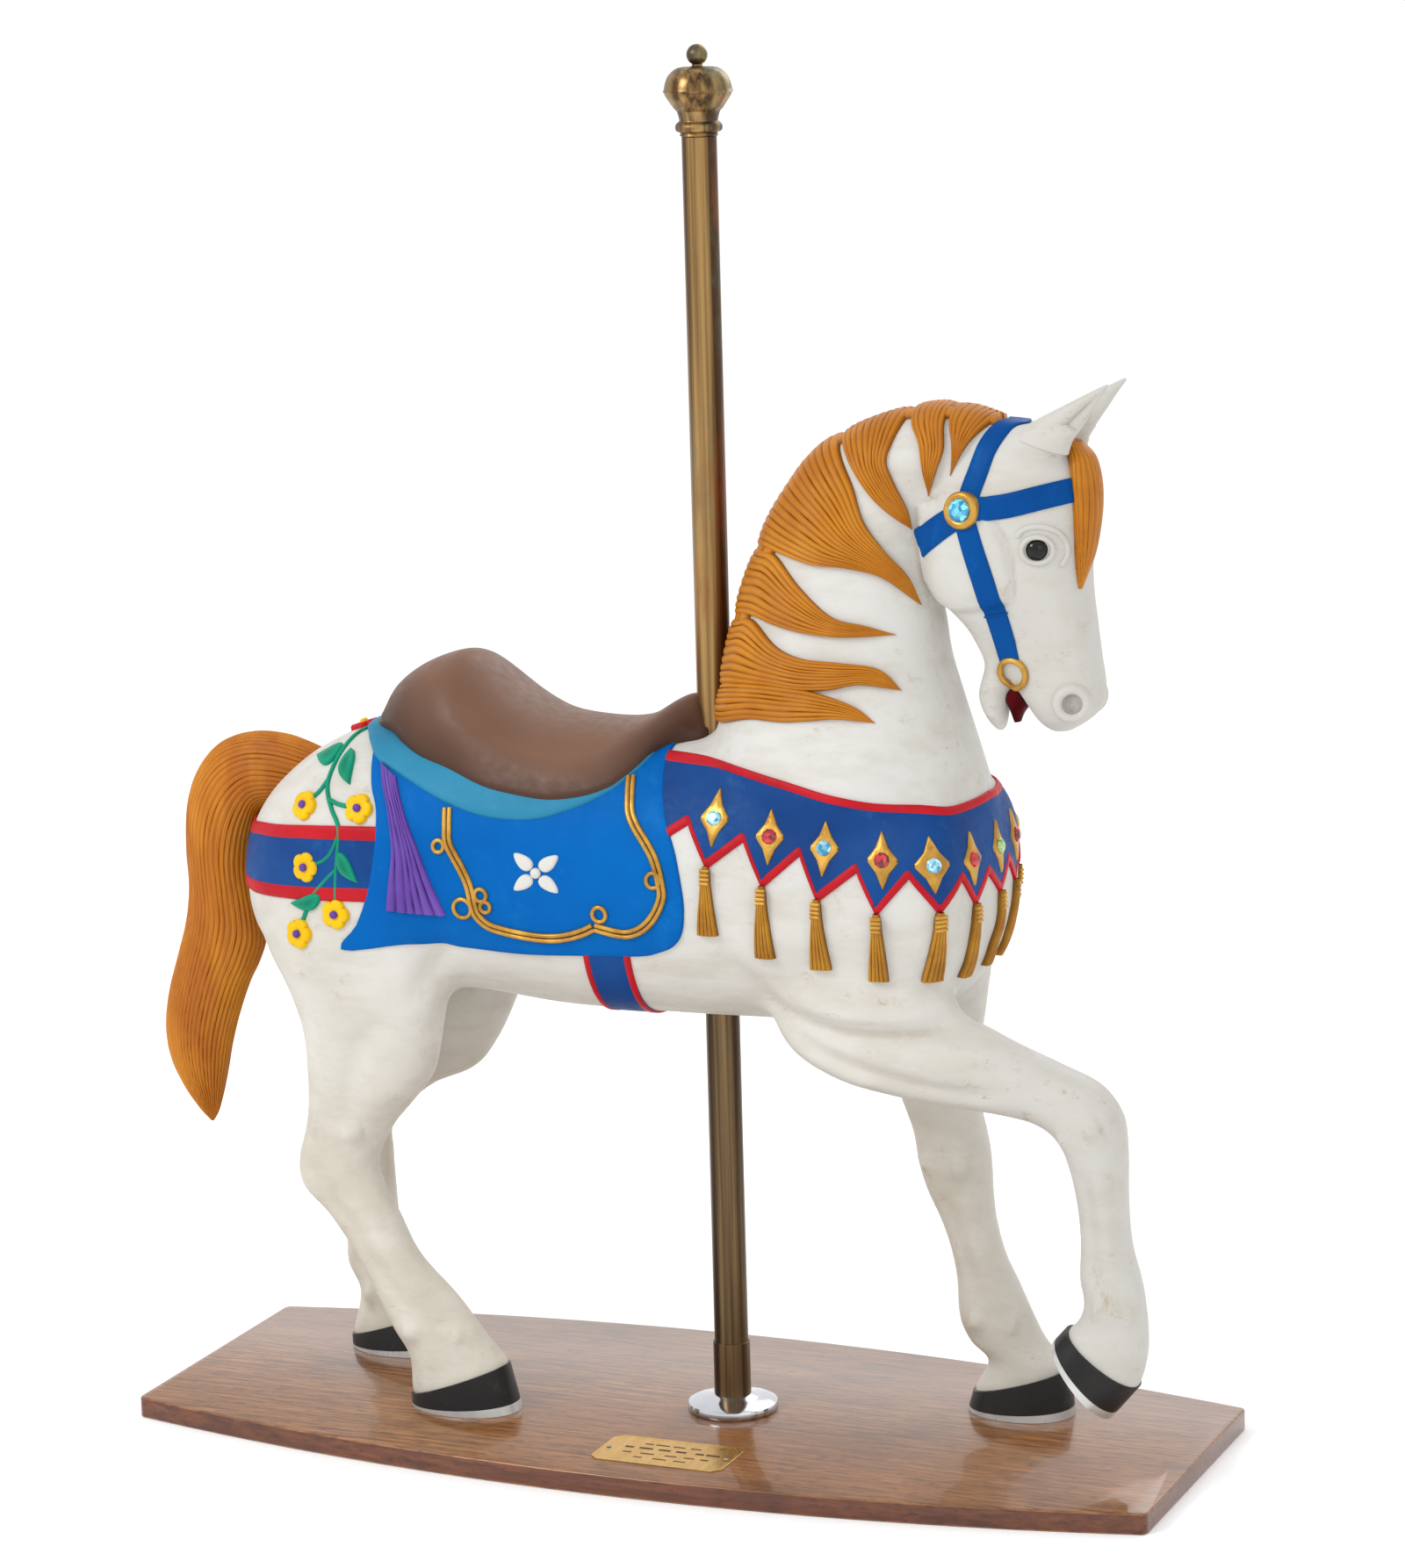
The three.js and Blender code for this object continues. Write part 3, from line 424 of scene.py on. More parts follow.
def leg_relief():
    # Bony joints and the groove before the tendon of each leg
    lines = []
    for name, (y, rows, _) in LEGS.items():
        rows = np.array(rows, float)
        side = math.copysign(1, y)
        joint, fetlock = LEG_JOINTS[name]
        for share, half_width, height in SHANK_LINES:
            path = [across(rows[row], share) for row in range(joint + 1, fetlock)]
            lines.append((path, half_width, height, side))
        for row, bumps in ((joint, JOINT_BUMPS), (fetlock, FETLOCK_BUMPS)):
            for first, last, half_width, height in bumps:
                path = [across(rows[row], share) for share in np.linspace(first, last, 3)]
                lines.append((path, half_width, height, side))
    return lines


def across(row, share):
    # A place between the two edges of a row
    return row[:2] * (1 - share) + row[2:4] * share


def modelled(points, faces):
    # Raises and sinks the skin by its swellings, folds, joints and cheeks
    normals = vertex_normals(points, faces)
    out = np.abs(normals[:, 1])
    flat = points[:, [0, 2]]
    rise = np.zeros(len(points))
    for x, z, radius, height in MODELLING:
        gap = np.linalg.norm(flat - [x, z], axis=1) / radius
        rise += height * np.exp(-2 * gap ** 2) * out
    for line, half_width, height, side in [(*fold, -1) for fold in FOLDS] + leg_relief():
        path = resampled(spline(line, 6), 4)
        square = ((flat[:, None] - path[None]) ** 2).sum(2)
        share = square.argmin(1) / (len(path) - 1)
        fade = END_SHARE + (1 - END_SHARE) * np.sqrt(np.sin(math.pi * share) + 1e-9)
        own_side = points[:, 1] * side > MIDDLE_HALF
        rise += height * fade * np.exp(-square.min(1) / half_width ** 2) * out * own_side
    edge = np.clip(border_distance(flat, CHEEK) / CHEEK_EDGE, 0, 1)
    rise += np.where(inside(flat, CHEEK), CHEEK_RISE * edge * out, 0)
    return points + normals * rise[:, None]


# Flat outlines
def inside(points, outline):
    start = np.asarray(outline, float)
    end = np.roll(start, -1, axis=0)
    x, z = points[:, 0][:, None], points[:, 1][:, None]
    crosses = (start[:, 1] > z) != (end[:, 1] > z)
    span = np.where(end[:, 1] == start[:, 1], TINY, end[:, 1] - start[:, 1])
    where = start[:, 0] + (z - start[:, 1]) * (end[:, 0] - start[:, 0]) / span
    return (crosses & (x < where)).sum(1) % 2 == 1


def border_distance(points, outline):
    start = np.asarray(outline, float)
    edge = np.roll(start, -1, axis=0) - start
    size = (edge ** 2).sum(1) + TINY
    result = np.full(len(points), np.inf)
    for k in range(len(start)):
        away = points - start[k]
        t = np.clip((away @ edge[k]) / size[k], 0, 1)
        result = np.minimum(result, np.linalg.norm(away - t[:, None] * edge[k], axis=1))
    return result


# Charts: ways to lay a flat outline on the body
TRUNK_AXIS = 645
TRUNK_RADIUS = 140
# Where the breast starts to turn, and the length of a quarter turn
TURN_X = 255
QUARTER = TRUNK_RADIUS * math.pi / 2


def rays_round(flat):
    # Starts on the trunk's axis and directions away from it
    angle = flat[:, 1] / TRUNK_RADIUS
    out = np.stack([0 * angle, -np.sin(angle), np.cos(angle)], 1)
    return np.stack([flat[:, 0], 0 * angle, 0 * angle + TRUNK_AXIS], 1), out


class TrunkChart:
    # Along the horse, and round it from the spine; the right side is positive
    def lay(self, flat):
        middle, out = rays_round(flat)
        return body.cast(middle + out * FAR, -out, FAR - TRUNK_RADIUS)

    def flatten(self, points):
        angle = np.arctan2(-points[:, 1], points[:, 2] - TRUNK_AXIS)
        return np.stack([points[:, 0], angle * TRUNK_RADIUS], 1)


class BreastChart:
    # Round the breast on a level, from the right flank over the front to the left flank, and up
    def lay(self, flat):
        along = flat[:, 0]
        end = TURN_X + 2 * QUARTER
        angle = np.clip((along - TURN_X) / QUARTER, 0, 2) * math.pi / 2
        out = np.stack([np.sin(angle), -np.cos(angle), 0 * angle], 1)
        x = np.where(along < TURN_X, along, np.where(along > end, TURN_X - (along - end), TURN_X))
        middle = np.stack([x, 0 * x, flat[:, 1]], 1)
        return body.cast(middle + out * FAR, -out, FAR - TRUNK_RADIUS)

    def flatten(self, points):
        angle = np.arctan2(points[:, 0] - TURN_X, -points[:, 1])
        turned_along = TURN_X + angle / (math.pi / 2) * QUARTER
        along = np.where(points[:, 0] < TURN_X, points[:, 0], turned_along)
        return np.stack([along, points[:, 2]], 1)


class SideChart:
    # Straight across, onto one side
    def __init__(self, hand):
        self.hand = hand

    def lay(self, flat):
        start = np.stack([flat[:, 0], 0 * flat[:, 0] + self.hand * FAR, flat[:, 1]], 1)
        aim = np.tile([0.0, -self.hand, 0.0], (len(flat), 1))
        return body.cast(start, aim, FAR - 8)


class NeckChart(SideChart):
    # Straight across onto one side, or to the crest where that side isn't met
    def lay(self, flat):
        aim = Vector((0, -self.hand, 0))
        found = []
        for x, z in flat:
            start = Vector((x, self.hand * FAR, z))
            place, _, index, _ = body.tree.ray_cast(start, aim, FAR * 1.2)
            if place is None or place[1] * self.hand < 0:
                place, _, index, _ = body.tree.find_nearest(Vector((x, 0, z)))
            found.append((place, index))
        return body.settle(found)


def spot_on(chart, flat):
    # One place on the body and its normal
    places, normals = chart.lay(np.array([flat], float))
    return places[0], normals[0]


def side_points(flat):
    # Places on the right side of the body from [x, z], or any place from [x, z, y]
    result = []
    for entry in flat:
        if len(entry) == 3:
            x, z, y = entry
            result.append((x, y, z))
        else:
            result.append(tuple(spot_on(SideChart(-1), entry)[0]))
    return np.array(result)


def mirrored(points):
    return points * [1, -1, 1]


# Pieces are put together from parts; each part has points, faces and how deep each point lies
class Piece:
    def __init__(self, name, slot="painted_wood", nodes=("horse",)):
        self.name, self.slot, self.nodes = name, slot, nodes
        self.points, self.faces, self.which, self.depths = [], [], [], []
        self.materials = []
        self.count = 0

    def add(self, part, material):
        points, faces, depth = part
        if material not in self.materials:
            self.materials.append(material)
        number = self.materials.index(material)
        self.points.append(points)
        self.faces += [tuple(self.count + int(k) for k in face) for face in faces]
        self.which += [number] * len(faces)
        self.depths.append(depth)
        self.count += len(points)

    def make(self, crease=50):
        mesh = bpy.data.meshes.new(self.name)
        points = np.concatenate(self.points) + [0, 0, LIFT]
        mesh.from_pydata((points * MM).tolist(), [], self.faces)
        for material in self.materials:
            mesh.materials.append(material)
        mesh.polygons.foreach_set("material_index", self.which)
        mesh.shade_smooth()
        mesh.set_sharp_from_angle(angle=math.radians(crease))
        # Each point's groove value, which paints read as painted shade in grooves and by the saddle's edge,
        # and as a leaf's darker middle
        depth = mesh.attributes.new("groove", "FLOAT", "POINT")
        depth.data.foreach_set("value", np.concatenate(self.depths).astype(np.float32))
        mesh.validate()
        piece = bpy.data.objects.new(self.name, mesh)
        bpy.context.scene.collection.objects.link(piece)
        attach(piece, "root")
        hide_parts(*self.nodes)
        return piece


def plain(points, faces):
    return points, faces, np.zeros(len(points))


# How far the border of a part goes into the surface
SINK = 2.5
EDGE_SHARES = [inset / 2.6 for inset in (0.3, 1.1, 2.6)]
ON_BORDER = 0.02
# How far the top of a strap is in from its side, and the steps along a cord
STRAP_EDGE = 1.4
CORD_SPACING = 2.5
# The grid of a carved lock: length of a row, and columns for each strand
ROW_GAP = 3
STRAND_COLUMNS = 6
UP = np.array([0.0, 0.0, 1.0])


def edge_profile(distance, edge):
    near = 1 - np.clip(distance / edge, 0, 1)
    return np.sqrt(np.clip(1 - near ** 2, 0, 1))


def patch_places(outline, spacing, edge):
    # The outline, rings inside it for its rounded edge, and an even spread in the middle
    ahead = np.roll(outline, -1, axis=0) - np.roll(outline, 1, axis=0)
    following = np.roll(outline, -1, axis=0)
    area = 0.5 * np.sum(outline[:, 0] * following[:, 1] - following[:, 0] * outline[:, 1])
    inwards = unit(np.stack([-ahead[:, 1], ahead[:, 0]], 1)) * np.sign(area)
    flats = [outline]
    for share in EDGE_SHARES:
        ring = outline + inwards * share * edge
        clear = border_distance(ring, outline) > 0.8 * share * edge
        flats.append(ring[clear & inside(ring, outline)])
    low, high = outline.min(0), outline.max(0)
    xs = np.arange(low[0], high[0], spacing)
    zs = np.arange(low[1], high[1], spacing)
    grid = np.stack(np.meshgrid(xs, zs), -1).reshape(-1, 2)
    grid[:, 0] += 0.5 * spacing * ((grid[:, 1] - low[1]) / spacing % 2 > 0.5)
    grid = grid[inside(grid, outline)]
    flats.append(grid[border_distance(grid, outline) > edge + 0.5 * spacing])
    return np.concatenate(flats)


def patch(outline, chart, rise, spacing=5, edge=2.6, height=None):
    # A raised part inside a flat outline, with a rounded edge that goes into the surface
    outline = cornered(outline, spacing * 0.7)
    flat = patch_places(outline, spacing, edge)
    border = [list(range(len(outline)))]
    made = delaunay_2d_cdt([Vector(p) for p in flat], [], border, 1, 1e-5)
    flat = np.array([tuple(p) for p in made[0]])
    distance = border_distance(flat, outline)
    extra, depth = height(flat, distance) if height else (0, np.zeros(len(flat)))
    level = (rise + extra) * edge_profile(distance, edge)
    level = np.where(distance < ON_BORDER, -SINK, level)
    places, normals = chart.lay(flat)
    points = places + normals * level[:, None]
    return points, facing(points, made[2], normals), depth


def facing(points, faces, normals):
    # Turns each face over that looks against the surface below it
    result = []
    for face in faces:
        a, b, c = (points[k] for k in face[:3])
        flip = np.dot(np.cross(b - a, c - a), normals[face[0]] + normals[face[1]]) < 0
        result.append(tuple(face[::-1]) if flip else tuple(face))
    return result


def ribbon(path, widths, rise, spacing=4):
    # A strap along a path on the surface, with widths given at equal shares of its length
    centre = resampled(spline(path, 8), spacing)
    centre, normals = body.nearest(centre)
    side = unit(np.cross(normals, np.gradient(centre, axis=0)))
    shares = np.linspace(0, 1, len(widths))
    width = np.interp(np.linspace(0, 1, len(centre)), shares, widths)
    steps = max(int(max(widths) / 5), 2)
    rows = [(-1, 0, -SINK), (-1, 0.2, 0.6 * rise)]
    rows += [(value, -value * STRAP_EDGE, rise) for value in np.linspace(-1, 1, steps + 1)]
    rows += [(1, -0.2, 0.6 * rise), (1, 0, -SINK)]
    columns = []
    for share, inset, level in rows:
        offset = share * width / 2 + inset
        places, out = body.nearest(centre + side * offset[:, None])
        columns.append(places + out * level)
    points = np.stack(columns, 1).reshape(-1, 3)
    faces = grid_faces(len(centre), len(rows))
    return plain(points, facing(points, faces, np.repeat(normals, len(rows), axis=0)))


def bead(path, radius, closed=False, sides=10, sunk=0.35, lift=0):
    # A round cord laid along a path on the surface
    centre = resampled(spline(path, 8, closed), CORD_SPACING, closed)
    centre, normals = body.nearest(centre)
    centre = centre + normals * (lift + radius * (1 - 2 * sunk))
    if closed:
        ahead = np.roll(centre, -1, axis=0) - np.roll(centre, 1, axis=0)
    else:
        ahead = np.gradient(centre, axis=0)
    side = unit(np.cross(normals, ahead))
    angle = np.linspace(0, FULL_TURN, sides, endpoint=False)[None, :, None]
    points = side[:, None] * np.cos(angle) + normals[:, None] * np.sin(angle)
    points = (centre[:, None] + radius * points).reshape(-1, 3)
    faces = tube_faces(len(centre), sides, capped=not closed)
    if closed:
        last = (len(centre) - 1) * sides
        for k in range(sides):
            other = (k + 1) % sides
            faces.append((last + k, last + other, other, k))
    return plain(points, outward(points, faces))


def strand_shape(phase):
    # Rounded ridges with narrow grooves between them, from 0 in a groove to 1
    return np.abs(np.sin(math.pi * phase)) ** 0.6


def lock_grid(first, second, root, columns):
    # Places between two edges; the first row follows the root, and halfway along none does
    u = np.linspace(0, 1, columns)[:, None]
    flat = first[:, None] * (1 - u) + second[:, None] * u
    if root is not None:
        t = np.linspace(0, 1, len(first))[:, None, None]
        straight = first[0] * (1 - u) + second[0] * u
        hold = (1 - np.clip(t / 0.5, 0, 1)) ** 2
        flat = flat + hold * (evenly(spline(root, 8), columns) - straight)
    return flat


def tress(first, second, chart, strands, rise, groove, root=None, blunt=False, swirl=0.25):
    # A carved lock between two edges that run from its root to its tip
    length = max(np.linalg.norm(np.diff(e, axis=0), axis=1).sum() for e in (first, second))
    rows = max(int(length / ROW_GAP), 8)
    columns = strands * STRAND_COLUMNS + 1
    first, second = (evenly(spline(edge, 8), rows) for edge in (first, second))
    flat = lock_grid(first, second, root, columns)
    u = np.linspace(0, 1, columns)[None]
    t = np.linspace(0, 1, rows)[:, None]
    width = np.linalg.norm(first - second, axis=1)[:, None]
    ridge = strand_shape(strands * u + swirl * np.sin(3 * t + 7 * u) * np.sin(math.pi * u))
    deep = np.minimum(groove, width / strands * 0.4)
    dome = np.sqrt(np.clip(1 - np.abs(2 * u - 1) ** 4, 0, 1))
    fade = np.ones_like(width) if blunt else np.clip(width / 14, 0.25, 1)
    start = np.clip(t * rows * ROW_GAP / 30, 0, 1)
    level = rise * (0.45 + 0.55 * dome) * fade - deep * (0.45 + 0.55 * start) * (1 - ridge)
    level = np.where((u == 0) | (u == 1), -SINK, level)
    if blunt:
        level[-1] = -SINK
    places, normals = chart.lay(flat.reshape(-1, 2))
    points = places + normals * level.reshape(-1, 1)
    # The last value is 1 in the grooves between strands, where the paint lays painted shade
    return points, facing(points, grid_faces(rows, columns), normals), (1 - ridge).reshape(-1)


def haired_loft(rows, strands, groove, sides, steps, drift):
    # A loft with strands carved along it, alike on both sides
    points = loft_points(rows, sides=sides, power=2.0, steps=steps)
    angle = np.linspace(0, 1, sides, endpoint=False)[None]
    t = np.linspace(0, 1, len(points))[:, None]
    fold = np.abs(2 * angle - 1)
    phase = strands * fold + drift * np.sin(4 * t + 5 * fold) + 2 * t
    fine = strand_shape(2.3 * phase + 0.4 * np.sin(9 * t))
    valley = 1 - (0.65 * strand_shape(phase) + 0.35 * fine)
    out = points - points.mean(1, keepdims=True)
    reach = np.linalg.norm(out, axis=2, keepdims=True) + 1e-6
    deep = groove * np.clip(reach / 18, 0, 1)
    # The last value is 1 in the grooves between strands, where the paint lays painted shade
    return *tube(points - out / reach * deep * valley[..., None]), valley.reshape(-1)


def turned(profile, sides=96, at=(0, 0, 0), swell=1):
    # A form about the vertical from radius and height; swell is its width round the turn
    radius, height = np.asarray(profile, float).T
    angle = np.linspace(0, FULL_TURN, sides, endpoint=False)
    reach = radius[:, None] * swell
    rings = [reach * np.cos(angle), reach * np.sin(angle), height[:, None] + 0 * angle]
    return plain(*tube(np.stack(rings, 2) + at))


def placed(part, spot, rise=0):
    # Stands a part that is drawn about the vertical on a place, along the normal there
    points, faces, depth = part
    place, normal = spot
    up = unit(UP - np.dot(UP, normal) * normal)
    side = np.cross(up, normal)
    return points @ np.array([side, up, normal]) + place + normal * rise, faces, depth


# Materials
LEVEL_NAMES = {
    "metallic": "Metallic", "coat": "Coat Weight", "coat_roughness": "Coat Roughness",
    "specular": "Specular IOR Level",
}


def nodes_for(name):
    material = bpy.data.materials.new(name)
    material.use_nodes = True
    tree = material.node_tree
    return material, tree, tree.nodes["Principled BSDF"]


def noise(tree, scale, detail=4, stretch=(1, 1, 1), rough=0.55):
    place = tree.nodes.new("ShaderNodeTexCoord")
    mapping = tree.nodes.new("ShaderNodeMapping")
    mapping.inputs["Scale"].default_value = stretch
    texture = tree.nodes.new("ShaderNodeTexNoise")
    texture.inputs["Scale"].default_value = scale
    texture.inputs["Detail"].default_value = detail
    texture.inputs["Roughness"].default_value = rough
    tree.links.new(place.outputs["Object"], mapping.inputs["Vector"])
    tree.links.new(mapping.outputs["Vector"], texture.inputs["Vector"])
    return texture.outputs["Fac"]


def ramp(tree, value, low, high, start=0.0, end=1.0):
    node = tree.nodes.new("ShaderNodeMapRange")
    node.inputs["From Min"].default_value = low
    node.inputs["From Max"].default_value = high
    node.inputs["To Min"].default_value = start
    node.inputs["To Max"].default_value = end
    tree.links.new(value, node.inputs["Value"])
    return node.outputs["Result"]


def blended(tree, amount, first, second):
    node = tree.nodes.new("ShaderNodeMix")
    node.data_type = "RGBA"
    tree.links.new(amount, node.inputs["Factor"])
    for socket, colour in ((node.inputs[6], first), (node.inputs[7], second)):
        if isinstance(colour, tuple):
            socket.default_value = colour
        else:
            tree.links.new(colour, socket)
    return node.outputs[2]


def colour(red, green, blue):
    values = []
    for value in (red, green, blue):
        share = value / 255
        values.append(share / 12.92 if share <= 0.04045 else ((share + 0.055) / 1.055) ** 2.4)
    return (*values, 1)


def bumped(tree, shader, height, strength, distance):
    node = tree.nodes.new("ShaderNodeBump")
    node.inputs["Strength"].default_value = strength
    node.inputs["Distance"].default_value = distance
    tree.links.new(height, node.inputs["Height"])
    tree.links.new(node.outputs["Normal"], shader.inputs["Normal"])


def mixed(tree, pattern, low, high, first, second):
    return blended(tree, ramp(tree, pattern, low, high), colour(*first), colour(*second))


def stained(tree, tone, pattern, low, high, strength, tint):
    # Lays a tint over a tone where a pattern is high
    return blended(tree, ramp(tree, pattern, low, high, 0, strength), tone, colour(*tint))


def finished(tree, shader, tone, marks, roughness, **levels):
    # The colour, a roughness between two values or one for all, and levels for the whole surface
    tree.links.new(tone, shader.inputs["Base Color"])
    if marks is None:
        shader.inputs["Roughness"].default_value = roughness
    else:
        tree.links.new(ramp(tree, marks, 0.3, 0.7, *roughness), shader.inputs["Roughness"])
    for name, value in levels.items():
        shader.inputs[LEVEL_NAMES[name]].default_value = value


def paint(
    name, base, worn, roughness=0.45, scale=9, stretch=(1, 1, 1), fine=70, bump=0.15,
    coat=0.0, metallic=0.0, dirt=None, groove=None, specular=0.22,
):
    # Brushed paint: two tones in soft patches, fine brush marks, dirt in patches, and a darker tone where
    # the groove value is high: painted shade in carved grooves and by the saddle's edge, and the darker
    # middle of a leaf
    material, tree, shader = nodes_for(name)
    tone = mixed(tree, noise(tree, scale, 6, stretch), 0.35, 0.65, base, worn)
    if dirt:
        specks = noise(tree, scale * 2.2, 9, stretch, 0.72)
        tone = stained(tree, tone, specks, 0.56, 0.76, 0.7, dirt)
    if groove:
        depth = tree.nodes.new("ShaderNodeAttribute")
        depth.attribute_name = "groove"
        # Painted shade in grooves and by the saddle's edge, and a darker middle on leaves
        tone = stained(tree, tone, depth.outputs["Fac"], 0.25, 0.95, 1, groove)
    marks = noise(tree, fine, 5, stretch)
    finished(
        tree, shader, tone, marks, (roughness - 0.07, roughness + 0.1), metallic=metallic,
        coat=coat, coat_roughness=0.25, specular=specular,
    )
    bumped(tree, shader, marks, bump, 0.001)
    return material


def product(tree, first, second):
    node = tree.nodes.new("ShaderNodeMath")
    node.operation = "MULTIPLY"
    tree.links.new(first, node.inputs[0])
    tree.links.new(second, node.inputs[1])
    return node.outputs[0]


def axis_share(tree, axis, low, high):
    # 0 at the first place along the axis and 1 at the second, in metres
    place = tree.nodes.new("ShaderNodeTexCoord")
    split = tree.nodes.new("ShaderNodeSeparateXYZ")
    tree.links.new(place.outputs["Object"], split.inputs[0])
    return ramp(tree, split.outputs[axis], low, high)


def white_paint():
    # Old white paint: brush marks, warmer down the legs, greyer towards the head as painted shade, brown
    # wear in specks, and grime with painted shade in the hollows
    material, tree, shader = nodes_for("aged white paint with painted shade")
    tone = mixed(tree, noise(tree, 4, 5), 0.3, 0.7, (206, 206, 203), (196, 194, 188))
    legs = mixed(tree, noise(tree, 12, 6), 0.35, 0.7, (206, 201, 190), (186, 178, 162))
    tone = blended(tree, axis_share(tree, "Z", 0.25, 0.68), legs, tone)
    # Painted shade: the white turns greyer forwards from 0.26 m to 0.44 m, over the head
    tone = blended(tree, axis_share(tree, "X", 0.26, 0.44), tone, colour(190, 188, 182))
    strokes = noise(tree, 30, 7, (0.3, 1, 1), 0.65)
    tone = stained(tree, tone, strokes, 0.45, 0.75, 0.6, (178, 172, 158))
    specks = ramp(tree, noise(tree, 60, 12, (0.6, 1, 1), 0.8), 0.56, 0.68)
    worn = ramp(tree, noise(tree, 8, 4), 0.46, 0.66, 0.08, 0.9)
    tone = blended(tree, product(tree, specks, worn), tone, colour(150, 120, 82))
    scuffs = noise(tree, 22, 9, (1, 1, 0.5), 0.7)
    tone = stained(tree, tone, scuffs, 0.64, 0.72, 0.55, (160, 138, 104))
    # Grime and painted shade: brown darkening in hollows and creases, from pointiness
    pointiness = tree.nodes.new("ShaderNodeNewGeometry").outputs["Pointiness"]
    tone = stained(tree, tone, pointiness, 0.49, 0.44, 0.6, (140, 124, 98))
    marks = noise(tree, 90, 6, (0.4, 1, 1))
    finished(tree, shader, tone, marks, (0.42, 0.62), specular=0.25)
    bumped(tree, shader, marks, 0.5, 0.0015)
    return material


def glass(name, dark, light, specular=0.8):
    # Glass with a shade of its own in each small cell; the lighter cells are painted glints standing in for
    # sparkle on the facets
    material, tree, shader = nodes_for(name)
    place = tree.nodes.new("ShaderNodeTexCoord")
    cells = tree.nodes.new("ShaderNodeTexVoronoi")
    cells.inputs["Scale"].default_value = 210
    tree.links.new(place.outputs["Object"], cells.inputs["Vector"])
    tone = mixed(tree, cells.outputs["Color"], 0.25, 0.8, dark, light)
    finished(tree, shader, tone, None, 0.04, specular=specular)
    return material


def veneer(name, dark, light, middle):
    # Polished wood: fine grain, broad figure, pores and dark stains
    material, tree, shader = nodes_for(name)
    grain = noise(tree, 14, 9, (0.6, 12, 12), 0.65)
    figure = noise(tree, 2.5, 5, (0.5, 3, 3))
    pores = noise(tree, 90, 6, (0.5, 2.5, 2.5), 0.7)
    stains = noise(tree, 7, 6, (0.8, 1.6, 1), 0.65)
    tone = mixed(tree, grain, 0.32, 0.66, dark, light)
    tone = stained(tree, tone, figure, 0.3, 0.72, 0.65, middle)
    tone = stained(tree, tone, pores, 0.5, 0.66, 0.8, dark)
    tone = stained(tree, tone, stains, 0.52, 0.7, 0.55, dark)
    finished(tree, shader, tone, None, 0.28, specular=0.3, coat=0.5, coat_roughness=0.05)
    bumped(tree, shader, grain, 0.06, 0.0005)
    return material


def pole_brass():
    # Stained brass tube: streaks along it that are painted reflections, green and red patches, darker at
    # the foot
    material, tree, shader = nodes_for("stained brass with painted reflections")
    # Painted reflections: light and dark streaks along the tube
    reflection_streaks = noise(tree, 70, 5, (1, 1, 0.012), 0.6)
    tone = mixed(tree, reflection_streaks, 0.4, 0.6, (74, 54, 36), (168, 134, 84))
    green = noise(tree, 16, 6, (1, 1, 0.5), 0.6)
    tone = stained(tree, tone, green, 0.5, 0.7, 0.6, (96, 108, 88))
    red = noise(tree, 21, 6, (1.4, 1, 0.3), 0.6)
    tone = stained(tree, tone, red, 0.54, 0.72, 0.7, (140, 78, 44))
    foot = mixed(tree, reflection_streaks, 0.42, 0.6, (62, 48, 34), (124, 102, 72))
    tone = blended(tree, axis_share(tree, "Z", 0.45, 0.9), foot, tone)
    finished(tree, shader, tone, reflection_streaks, (0.42, 0.32), metallic=0.9)
    bumped(tree, shader, reflection_streaks, 0.25, 0.0008)
    return material


def metal(name, base, worn, roughness, scale, stretch=(1, 1, 1)):
    material, tree, shader = nodes_for(name)
    tone = mixed(tree, noise(tree, scale, 8, stretch, 0.65), 0.35, 0.7, base, worn)
    fine = noise(tree, scale * 9, 4, stretch)
    finished(tree, shader, tone, fine, (roughness * 0.7, roughness * 1.5), metallic=1.0)
    bumped(tree, shader, fine, 0.06, 0.0005)
    return material


WHITE = white_paint()
MANE_PAINT = paint(
    "caramel mane paint", (188, 121, 24), (168, 100, 14), 0.4, 14, fine=90, bump=0.12,
    groove=(104, 54, 6), specular=0.2,
)
TAIL_PAINT = paint(
    "tail paint", (198, 127, 28), (164, 92, 16), 0.4, 7, (2.5, 2.5, 0.7), 60, 0.12,
    groove=(104, 54, 8), specular=0.2,
)
LEATHER = paint(
    "saddle paint", (120, 87, 69), (106, 75, 58), 0.42, 4, fine=90, bump=0.05,
    groove=(70, 46, 34), specular=0.22,
)
TEAL = paint("teal pad paint", (44, 129, 163), (34, 116, 150), 0.5, 6, fine=80, specular=0.15)
BLUE = paint(
    "bright blue paint", (0, 96, 172), (0, 86, 160), 0.5, 6, fine=80, dirt=(20, 112, 182), specular=0.05,
)
DARK_BLUE = paint(
    "dark blue paint", (8, 66, 130), (2, 52, 112), 0.5, 9, fine=80, dirt=(30, 92, 152), specular=0.15,
)
RED = paint("red paint", (184, 20, 34), (164, 14, 26), 0.45, 12, fine=80, specular=0.15)
BRIDLE_BLUE = paint(
    "bridle blue paint", (0, 62, 126), (0, 74, 144), 0.45, 9, fine=80, dirt=(8, 98, 172), specular=0.07,
)
GOLD = paint(
    "gold paint", (202, 156, 68), (164, 118, 44), 0.34, 40, fine=200, metallic=0.55, specular=0.4,
    dirt=(112, 74, 26),
)
TASSEL = paint(
    "tassel paint", (180, 126, 34), (150, 98, 22), 0.45, 30, fine=150, metallic=0.15,
    groove=(58, 36, 8),
)
PURPLE = paint("purple paint", (104, 72, 160), (90, 58, 144), 0.5, 14, fine=90, groove=(58, 34, 104))
YELLOW = paint("yellow paint", (230, 184, 12), (218, 170, 6), 0.45, 30, fine=90, specular=0.15)
GREEN = paint(
    "green paint", (14, 142, 110), (6, 124, 94), 0.45, 20, fine=90, groove=(4, 108, 80), specular=0.15,
)
VIOLET = paint("violet paint", (96, 60, 150), (84, 50, 136), 0.45, 20, fine=90)
